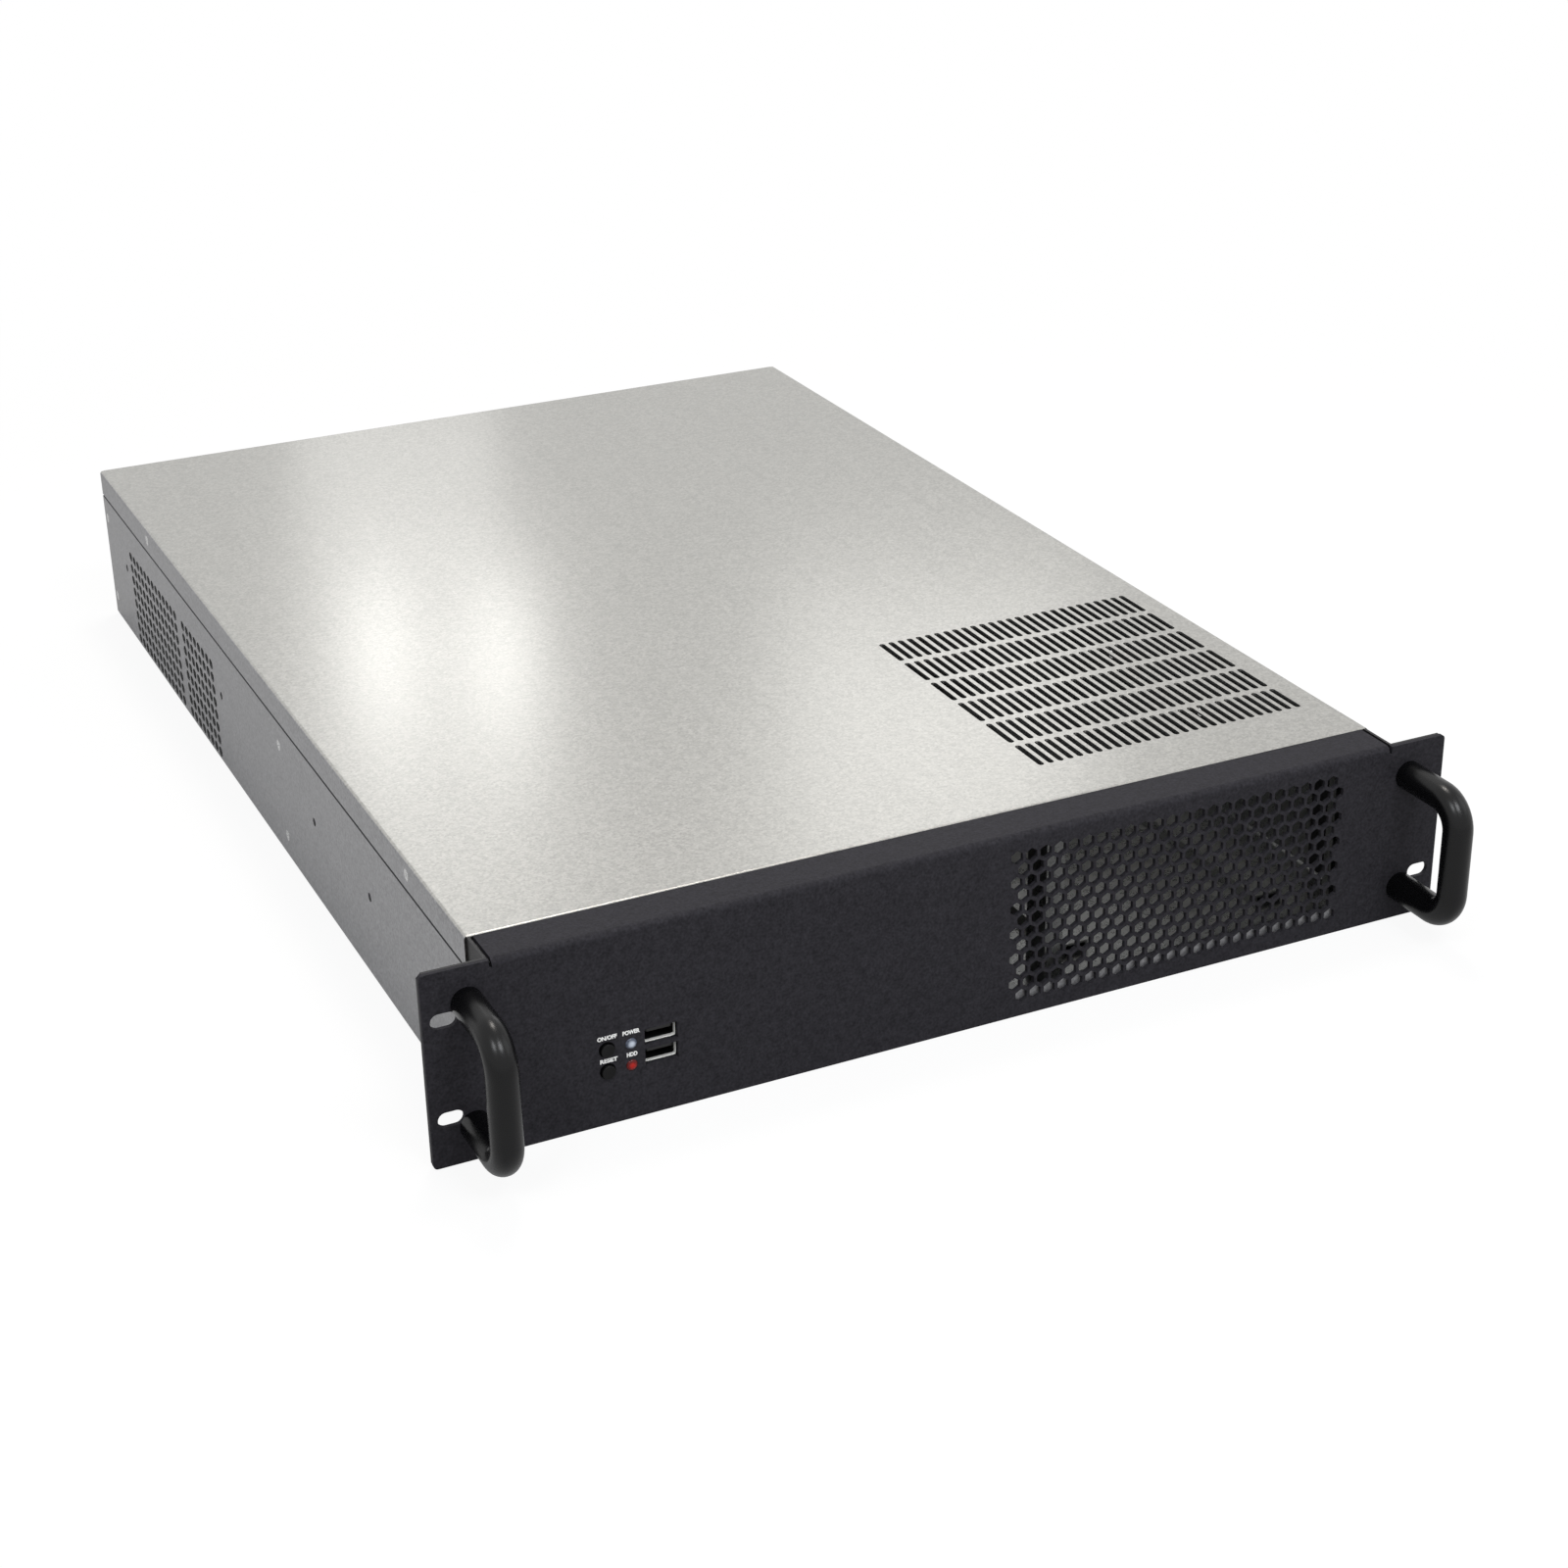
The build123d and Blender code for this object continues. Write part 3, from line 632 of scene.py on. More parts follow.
@dataclass(frozen=True)
class ZincSheet(Finish):
    """Zinc-coated steel sheet as rolled: satin, with small spangles and faint rolling streaks.

    Attributes:
        spangle: size of the spangles in millimetres.
        streak: width of the streaks in millimetres.
        drawn: how far the streaks are drawn out, as their width over their length.
        speckled: share of fine speckle over the spangles.
        streaked: share of streaks over both.
    """

    spangle: float = 1.5
    streak: float = 3.0
    drawn: float = 0.03
    speckled: float = 0.75
    streaked: float = 0.1

    def pattern(self, tree: Tree, where: Socket) -> Socket:
        """Cells of random tone under fine speckle, with streaks along the rolling direction.

        Args:
            tree: the material's tree.
            where: the point, in object coordinates.

        Returns:
            The pattern, from 0 to 1.
        """
        cells = add(tree, "TexVoronoi", {"Vector": where, "Scale": scale_of(self.spangle)})
        speckle = add(tree, "TexNoise", {"Vector": where, "Scale": scale_of(self.grain), "Detail": 3.0})
        along = add(tree, "Mapping", {"Vector": where, "Scale": (1.0, self.drawn, 1.0)})
        streaks = add(tree, "TexNoise", {
            "Vector": along.outputs[0], "Scale": scale_of(self.streak), "Detail": 2.0})
        tone = add(tree, "SeparateColor", {0: cells.outputs["Color"]})
        mixed = add(tree, "Mix", {0: self.speckled, 2: tone.outputs[0], 3: speckle.outputs["Fac"]})
        return add(tree, "Mix", {
            0: self.streaked, 2: mixed.outputs[0], 3: streaks.outputs["Fac"]}).outputs[0]

    def surface(self, tree: Tree, where: Socket, grain: Socket) -> Socket:
        """Only a fine speckle stands up, because the spangles are flat."""
        return add(tree, "TexNoise", {
            "Vector": where, "Scale": scale_of(self.grain), "Detail": 1.0}).outputs["Fac"]


@dataclass(frozen=True)
class PowderCoat(Finish):
    """Baked powder paint: a dense fine leather of tiny bumps under a dull gloss.

    Attributes:
        peel: size of the orange peel in millimetres.
        peeled: its share beside the grain.
    """

    peel: float = 3.0
    peeled: float = 0.35

    def pattern(self, tree: Tree, where: Socket) -> Socket:
        """Fine grain with a softer, larger orange peel under it.

        Args:
            tree: the material's tree.
            where: the point, in object coordinates.

        Returns:
            The pattern, from 0 to 1.
        """
        fine = add(tree, "TexNoise", {"Vector": where, "Scale": scale_of(self.grain), "Detail": 2.0})
        soft = add(tree, "TexNoise", {"Vector": where, "Scale": scale_of(self.peel), "Detail": 1.0})
        return add(tree, "Mix", {
            0: self.peeled, 2: fine.outputs["Fac"], 3: soft.outputs["Fac"]}).outputs[0]


@dataclass(frozen=True)
class Lens(Finish):
    """Cast epoxy of a lamp: a dark rim, painted shade, round a bright core, painted light that stands for
    the lit cup inside and the lens's highlight.

    Attributes:
        lit_core: sRGB hex of the painted bright core.
        clear: share of the light that goes through.
        cloudy: share of cloud in the pattern.
        refraction: refractive index of epoxy.
    """

    lit_core: str = "#FFFFFF"
    clear: float = 0.6
    cloudy: float = 0.2
    refraction: float = 1.53

    def pattern(self, tree: Tree, where: Socket) -> Socket:
        """The lamp's own `lit_core` attribute, 1 on its axis and 0 at its rim, with a little cloud: painted
        light in the middle, painted shade at the rim.

        Args:
            tree: the material's tree.
            where: the point, in object coordinates.

        Returns:
            The pattern, from 0 to 1.
        """
        lit_core = add(tree, "Attribute", attribute_name="lit_core").outputs["Fac"]
        cloud = add(tree, "TexNoise", {"Vector": where, "Scale": scale_of(self.grain), "Detail": 1.0})
        return add(tree, "Mix", {0: self.cloudy, 2: lit_core, 3: cloud.outputs["Fac"]}).outputs[0]

    def tones(self) -> tuple[Colour, Colour]:
        """Linear colours of the painted dark rim and the painted bright core."""
        return linear(self.colour), linear(self.lit_core)

    def extras(self, shader: bpy.types.Node) -> None:
        """Lets light through, with the refraction of epoxy."""
        shader.inputs["Transmission Weight"].default_value = self.clear
        shader.inputs["IOR"].default_value = self.refraction


@dataclass(frozen=True)
class MaskedBoard(Finish):
    """Glass-fibre board under solder mask: fine copper tracks show as lighter lines.

    Attributes:
        track: size of the areas of copper in millimetres.
    """

    track: float = 1.6

    def pattern(self, tree: Tree, where: Socket) -> Socket:
        """Straight-edged cells, which stand for areas of copper under the mask.

        Args:
            tree: the material's tree.
            where: the point, in object coordinates.

        Returns:
            The pattern, from 0 to 1.
        """
        cells = add(tree, "TexVoronoi", {
            "Vector": where, "Scale": scale_of(self.track)}, distance="MANHATTAN")
        return add(tree, "MapRange", {
            "Value": cells.outputs["Distance"], "From Min": 0.2, "From Max": 0.7}).outputs[0]


# Zinc-coated steel sheet, rolled: a satin grey with small spangles and faint streaks that
# run to the rear. Real spangles on such sheet are finer, and these are as coarse as they
# need to be to show. The walls and the lid's own skirts take a duller, cooler copy of the
# sheet, and its darker tone is painted shade on these upright sides.
LID_STEEL = ZincSheet("zinc_steel_lid", "#ACABA7", dark=0.56, grain=1.1, roughness=0.33,
                      spread=0.03, metallic=1.0, relief=0.006)
SHADED_WALL_STEEL = ZincSheet("zinc_steel_walls_painted_shade", "#929294", dark=0.3, grain=1.2, roughness=0.4,
                       spread=0.03, metallic=0.75, relief=0.006)
# Painted shade: the joggled strip under the lid's skirt, where hardly any light comes in, is coloured near
# black.
GROOVE_SHADE = ZincSheet("painted_shade_groove", "#2E2E30", dark=0.8, roughness=0.5, spread=0.03,
                         metallic=0.75, relief=0.003)
# The inner side of the same sheets: smoother, with larger spangles, and darker than the outside as painted
# shade of the closed case's inside.
SHADED_INNER_STEEL = ZincSheet("zinc_steel_inside_painted_shade", "#8C8D8C", dark=0.78, roughness=0.3, spread=0.05,
                        metallic=0.8, relief=0.0015, spangle=4.0)
# Powder paint, baked: a dull charcoal whose fine grit shows as speckle. The grit is drawn
# coarser than the real grains, which are about 0.3 mm.
PANEL_PAINT = PowderCoat("powder_coat_panel", "#2E2D31", dark=0.05, grain=1.2, roughness=0.55,
                         relief=0.08, specular=0.05)
# The same paint on the folded brackets, less gritty and nearer to black.
BRACKET_PAINT = PowderCoat("powder_coat_bracket", "#19181A", dark=0.5, grain=0.9, roughness=0.5,
                           relief=0.03, specular=0.3)
# Satin black on a turned and bent bar: smooth, with one broad highlight at each bend.
HANDLE_PAINT = PowderCoat("satin_black_handle", "#060607", dark=0.9, grain=0.8, roughness=0.27,
                          spread=0.01, relief=0.0002, specular=0.28)
# Moulded ABS: plain black with a soft gloss.
BUTTON_PLASTIC = Finish("moulded_abs_button", "#050506", dark=0.8, grain=0.4, roughness=0.35,
                        relief=0.004, specular=0.2)
# Glass-filled nylon, moulded: black and matt, with the faint grain of its fibres.
SWITCH_PLASTIC = Finish("moulded_nylon_switch", "#1B1B1C", dark=0.8, grain=0.5, roughness=0.5, relief=0.01)
INLET_PLASTIC = Finish("moulded_nylon_inlet", "#161616", dark=0.8, grain=0.6, roughness=0.48, relief=0.02)
# Liquid-crystal polymer, moulded: the dark, dull tongue of a socket. The same black is painted as shade
# deep inside the sleeves.
TONGUE_AND_SHADE_PLASTIC = Finish("moulded_lcp_tongue_and_shade", "#101011", dark=0.85, grain=0.3, roughness=0.45, relief=0.005)
# Epoxy, cast round the lamp's chip: glossy, one water-clear, one red, each with a painted bright core for
# its lit cup and highlight and a painted dark rim for shade.
CLEAR_EPOXY = Lens("epoxy_clear", "#26304A", grain=1.2, roughness=0.14, relief=0.004,
                   lit_core="#E6F0FF", clear=0.2, specular=0.3)
RED_EPOXY = Lens("epoxy_red", "#4C0604", grain=1.2, roughness=0.14, relief=0.004,
                 lit_core="#C0170D", clear=0.1, specular=0.25)
# Green solder mask, screened over copper: glossy, with paler tracks.
BOARD_MASK = MaskedBoard("solder_mask_green", "#1F5A38", dark=0.7, grain=0.5, roughness=0.35, relief=0.02)
# Brass, turned: yellow and bright, with fine turning marks.
POST_BRASS = Finish("turned_brass", "#C9A24E", dark=0.85, grain=0.3, roughness=0.28,
                    metallic=1.0, relief=0.003)
# Tin plate, stamped: a nearly white sleeve with a soft shine.
SOCKET_TIN = Finish("stamped_tin_socket", "#E6E6E2", dark=0.88, grain=0.5, roughness=0.42,
                    metallic=0.3, relief=0.003)
# Tin plate, bright dipped: the mirror-like blades of the inlet.
BRIGHT_TIN = Finish("bright_tin_plate", "#D4D4D0", dark=0.9, grain=0.6, roughness=0.2,
                    metallic=1.0, relief=0.002)
# Zinc, barrel plated: clean silvery screw heads.
SCREW_ZINC = Finish("bright_zinc_screw", "#C6C7C6", dark=0.85, grain=0.4, roughness=0.25,
                    metallic=1.0, relief=0.004)
# Gold, flash plated: thin warm contacts.
CONTACT_GOLD = Finish("gold_flash_contact", "#D8B45A", dark=0.9, grain=0.3, roughness=0.25, metallic=1.0)
# White ink, screen printed: flat and matt, a little uneven.
LABEL_INK = Finish("screen_printed_white", "#F4F4F2", dark=0.92, grain=0.35, roughness=0.6, relief=0.004)


def dress(piece: Piece, finish: Finish) -> None:
    """Gives every face of a piece one finish.

    Args:
        piece: the piece.
        finish: its finish.
    """
    piece.data.materials.clear()
    piece.data.materials.append(finish.material())
    piece.data.polygons.foreach_set("material_index", np.zeros(len(piece.data.polygons), np.int32))


def dress_faces(piece: Piece, finish: Finish, chosen: np.ndarray) -> None:
    """Gives the chosen faces of a piece a further finish.

    Args:
        piece: the piece, already dressed.
        finish: the finish to add.
        chosen: true for each face that takes it.
    """
    number = np.empty(len(chosen), np.int32)
    piece.data.polygons.foreach_get("material_index", number)
    piece.data.materials.append(finish.material())
    number[chosen] = len(piece.data.materials) - 1
    piece.data.polygons.foreach_set("material_index", number)


def hand_over(piece: Piece, body: Body, replaces: str | None = None) -> None:
    """Ties a finished piece to the frame and reports it.

    Args:
        piece: the piece.
        body: the body that it rides on.
        replaces: the CAD node that it stands for, if there is one.
    """
    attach(piece, body.value)
    if replaces:
        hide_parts(replaces)
    log.info("%s on %s, %d faces", piece.name, body.value, len(piece.data.polygons))


def fit_rings(name: str, stacks: Iterable[np.ndarray], finish: Finish, body: Body = Body.CASE,
              replaces: str | None = None) -> None:
    """Builds a piece from stacks of rings, dresses it in one finish and hands it over.

    Args:
        name: name of the piece.
        stacks: arrays (rings, points, 3) in metres.
        finish: its finish.
        body: the body that it rides on.
        replaces: the CAD node that it stands for, if there is one.
    """
    piece = ring_stack(name, stacks)
    dress(piece, finish)
    hand_over(piece, body, replaces)


# Sub-assemblies


@dataclass
class TopCover:
    """Lift-off lid with its block of air slots above the power supply."""

    columns: int = 28
    rows: int = 6
    first_x: float = 65.25
    last_x: float = 200.9
    first_depth: float = 66.05
    row_pitch: float = 26.45
    slot_length: float = 22.9
    slot_width: float = 2.9
    front_round: float = 0.7
    coarse_from: tuple[float, float] = (55, 45)
    coarse_to: tuple[float, float] = (212, 220)
    upright: float = 0.8

    def build(self) -> None:
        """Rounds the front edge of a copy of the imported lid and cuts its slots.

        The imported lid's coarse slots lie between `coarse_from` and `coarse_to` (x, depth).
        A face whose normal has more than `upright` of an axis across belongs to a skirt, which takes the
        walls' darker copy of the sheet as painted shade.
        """
        lid = merged_copy("top_cover", "lid_sheet")
        (_, front, low), (half, _, top) = extent("top_cover")
        # The region round the upper front edge, a little past both of its ends.
        round_edge(lid, (-half - 1, front - 0.1, top - 0.1), (half + 1, front + 0.1, top + 0.1),
                   self.front_round)
        close_holes(lid, (*self.coarse_from, top - 2), (*self.coarse_to, top + 1), axis=2, sides=4)
        centres = grid(np.linspace(self.first_x, self.last_x, self.columns),
                       self.first_depth + np.arange(self.rows) * self.row_pitch)
        slot = obround(self.slot_length, self.slot_width)[:, ::-1]
        cut(lid, prisms("slot_cutter", centres, slot, axis=2, span=(top - 4, top + 4)))
        log.info("lid %.1f mm to %.1f mm high, %d slots", low, top, len(centres))
        shade_folds(lid)
        dress(lid, LID_STEEL)
        normals = faces_of(lid)[1]
        # Painted shade: the lid's skirts take the walls' darker copy of the same sheet.
        shaded_skirts = (np.abs(normals[:, 0]) > self.upright) | (normals[:, 1] > self.upright)
        dress_faces(lid, SHADED_WALL_STEEL, shaded_skirts)
        # Painted shade: the lid's inner faces take the darker inside copy of the sheet.
        dress_faces(lid, SHADED_INNER_STEEL, inward_faces(lid))
        hand_over(lid, Body.COVER, "top_cover")


@dataclass
class Tray:
    """Chassis tray: air holes in its left wall and rail holes in both walls."""

    blocks: tuple[tuple[float, int], ...] = ((415.8, 8), (490.5, 13))
    pitch: float = 8.25
    rows: int = 8
    first_z: float = 5.5
    last_z: float = 55.0
    hole_length: float = 6.6
    hole_height: float = 5.4
    rail_depths: tuple[float, ...] = (153.3, 236.7, 400.0, 604.0)
    rail_z: float = 43.4
    rail_hole: float = 4.2
    groove_z: float = 72.9

    def build(self) -> None:
        """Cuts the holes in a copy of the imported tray."""
        tray = merged_copy("chassis_tray", "tray_sheet")
        half = -extent("chassis_tray")[0][0]
        # The cutters start outside either wall and end just inside it.
        left, right = (-half - 3, -half + 4), (half - 4, half + 3)
        depths = np.concatenate([start + np.arange(count) * self.pitch for start, count in self.blocks])
        vents = grid(depths, np.linspace(self.first_z, self.last_z, self.rows))
        hole = obround(self.hole_length, self.hole_height, steps=4)
        cut(tray, prisms("vent_cutter", vents, hole, axis=0, span=left))
        rails = grid(self.rail_depths, [self.rail_z])
        for span in (left, right):
            cut(tray, prisms("rail_cutter", rails, polygon(self.rail_hole, sides=24), axis=0, span=span))
        shade_folds(tray)
        # Painted shade: the tray's walls take the darker copy of the zinc sheet.
        dress(tray, SHADED_WALL_STEEL)
        # Painted shade: the joggled strip above the groove height is coloured near black.
        dress_faces(tray, GROOVE_SHADE, faces_of(tray)[0][:, 2] > self.groove_z * MM)
        # Painted shade: the tray's inner faces take the darker inside copy of the sheet.
        dress_faces(tray, SHADED_INNER_STEEL, inward_faces(tray))
        hand_over(tray, Body.CASE, "chassis_tray")


@dataclass
class FrontPanel:
    """Folded front with its fine hexagon mesh, 24 by 12 cells that stand on a corner."""

    columns: int = 24
    rows: int = 12
    pitch: float = 6.95
    row_pitch: float = 6.1
    flats: float = 5.5
    centre_x: float = 103.2
    centre_z: float = 43.4
    sheet: float = 2.0
    coarse_x: tuple[float, float] = (13, 193)
    coarse_z: tuple[float, float] = (3, 84)

    def centres(self) -> np.ndarray:
        """Centres of the cells: rows shift a quarter pitch to the right and to the left in turn.

        Returns:
            Array (rows * columns, 2) of x and z.
        """
        row, column = np.meshgrid(np.arange(self.rows), np.arange(self.columns), indexing="ij")
        shift = np.where(row % 2 == 0, 0.25, -0.25)
        x = self.centre_x + (column - (self.columns - 1) / 2 + shift) * self.pitch
        z = self.centre_z + (row - (self.rows - 1) / 2) * self.row_pitch
        return np.stack([x.ravel(), z.ravel()], axis=-1)

    def build(self) -> None:
        """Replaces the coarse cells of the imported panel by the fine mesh."""
        panel = merged_copy("front_panel", "panel_sheet")
        low, high = zip(self.coarse_x, (-1, self.sheet + 1), self.coarse_z)
        close_holes(panel, low, high, axis=1, sides=6)
        cell = polygon(self.flats, sides=6)
        cut(panel, prisms("cell_cutter", self.centres(), cell, axis=1, span=(-2, self.sheet + 2)))
        shade_folds(panel)
        dress(panel, PANEL_PAINT)
        hand_over(panel, Body.CASE, "front_panel")


@dataclass
class Handles:
    """Round bars bent into bows."""

    inset: float = 18.7
    bar: float = 13.4
    reach: float = 37.2
    span: float = 56.0
    bend: float = 13.0
    middle_z: float = 43.8
    points: int = 40
    steps: int = 14

    def path(self) -> tuple[np.ndarray, np.ndarray]:
        """Bar's centreline and its direction, in depth and height.

        Three straights joined by two quarter circles: out from the ear, up, and back in.

        Returns:
            Points (n, 2) and unit directions (n, 2).
        """
        low, high = self.middle_z - self.span / 2, self.middle_z + self.span / 2
        turn = np.linspace(0, TAU / 4, self.steps + 1)
        out, bend = -self.reach, self.bend
        lower = np.stack([out + bend - bend * np.sin(turn), low + bend - bend * np.cos(turn)], axis=-1)
        upper = np.stack([out + bend - bend * np.cos(turn), high - bend + bend * np.sin(turn)], axis=-1)
        lower_way = np.stack([-np.cos(turn), np.sin(turn)], axis=-1)
        upper_way = np.stack([np.sin(turn), np.cos(turn)], axis=-1)
        line = np.concatenate([[[0.0, low]], lower, upper, [[0.0, high]]])
        way = np.concatenate([[[-1.0, 0.0]], lower_way, upper_way, [[1.0, 0.0]]])
        return line, way

    def build(self) -> None:
        """Carries the bar's round section along both paths."""
        line, way = self.path()
        half = extent("front_panel")[1][0]
        angle = np.arange(self.points) / self.points * TAU
        radius = self.bar / 2
        sideways = np.cos(angle)[None, :] * radius
        normal = np.stack([-way[:, 1], way[:, 0]], axis=-1)
        across = np.sin(angle)[None, :, None] * radius * normal[:, None, :]
        bows = []
        for x in (-half + self.inset, half - self.inset):
            bow = np.empty((len(line), self.points, 3))
            bow[..., 0] = x + sideways
            bow[..., 1:] = line[:, None, :] + across
            bows.append(place(bow))
        fit_rings("handle_bars", bows, HANDLE_PAINT, Body.CASE, "front_handles")


@dataclass
class Screw:
    """Machine screw whose head is a dome with a cross recess, worked out on a polar grid.

    Attributes:
        radius: radius of the head.
        dome: rise of the dome from its edge to its middle.
        edge: height of the edge.
        arm: half the width of the cross's arms.
        reach: length of each arm from the middle.
        recess: depth of the cross.
        side: width of the slope beside an arm.
        run: length of the slope at an arm's end.
        sunk: how far the head goes into the wall.
        around: points in each ring.
        rings: number of rings on the dome.
    """

    radius: float = 3.0
    dome: float = 0.45
    edge: float = 0.25
    arm: float = 0.42
    reach: float = 1.7
    recess: float = 1.1
    side: float = 0.15
    run: float = 0.5
    sunk: float = 0.1
    around: int = 48
    rings: int = 14

    def head(self, facing: Facing, at: Point, turn: float) -> np.ndarray:
        """Rings of one head.

        The height falls from the middle as a parabola. Inside either arm of the cross it
        drops by the recess, less towards the arms' ends.

        Args:
            facing: the wall that it stands on.
            at: its centre on that wall.
            turn: angle of the cross, in radians.

        Returns:
            Rings in metres.
        """
        share = np.concatenate([[1.0, 1.0], np.linspace(0.97, 0.03, self.rings)])[:, None]
        angle = np.arange(self.around)[None, :] / self.around * TAU
        x, z = share * self.radius * np.cos(angle), share * self.radius * np.sin(angle)
        height = self.edge + self.dome * (1 - share ** 2) + 0 * angle
        first = np.abs(x * math.cos(turn) + z * math.sin(turn))
        second = np.abs(-x * math.sin(turn) + z * math.cos(turn))
        near, far = np.minimum(first, second), np.maximum(first, second)
        inside = np.clip((self.arm - near) / self.side, 0, 1) * np.clip((self.reach - far) / self.run, 0, 1)
        height = height - self.recess * inside
        height[0] = -self.sunk
        return fitting(facing, at, np.stack([x, z], axis=-1), height)


@dataclass
class Fasteners:
    """Screws that hold the walls, the lid, the slot covers and the handles."""

    small: Screw = field(default_factory=lambda: Screw(
        radius=2.7, dome=0.12, edge=0.08, arm=0.36, reach=1.4, recess=0.5))
    pan: Screw = field(default_factory=Screw)
    lid_depths: tuple[float, ...] = (94.2, 538.8)
    lid_z: float = 81.7
    wall_depths: tuple[float, float] = (289.6, 642.0)
    wall_z: tuple[tuple[float, float], ...] = ((60.8, 12.9), (61.3, 13.3))
    handle_x: float = 222.6
    handle_z: tuple[float, float] = (15.8, 71.8)
    ear_back: float = 3.2
    cover_screw_z: float = 74.5
    seed: int = 4

    def build(self) -> None:
        """Places the heads on their walls, each turned at random, in four pieces."""
        random = np.random.default_rng(self.seed)
        half = -extent("chassis_tray")[0][0]
        walls = ((Facing.LEFT, -half), (Facing.RIGHT, half))
        lid = [self.small.head(facing, (x, depth, self.lid_z), random.uniform(0, TAU))
               for facing, x in walls for depth in self.lid_depths]
        side = [self.small.head(facing, (x, depth, z), random.uniform(0, TAU))
                for facing, x in walls for depth, pair in zip(self.wall_depths, self.wall_z) for z in pair]
        handles = [self.pan.head(Facing.REAR, (x, self.ear_back, z), random.uniform(0, TAU))
                   for x in (-self.handle_x, self.handle_x) for z in self.handle_z]
        rear = extent("rear_panel")[1][1]
        slots = []
        for index in SLOT_COVERS:
            (left, _, _), (right, _, _) = extent(f"slot_cover_{index}")
            at = ((left + right) / 2, rear, self.cover_screw_z)
            slots.append(self.pan.head(Facing.REAR, at, random.uniform(0, TAU)))
        fit_rings("lid_screws", lid, SCREW_ZINC, Body.COVER)
        fit_rings("wall_screws", side, SCREW_ZINC)
        fit_rings("handle_screws", handles, SCREW_ZINC)
        fit_rings("slot_cover_screws", slots, SCREW_ZINC)


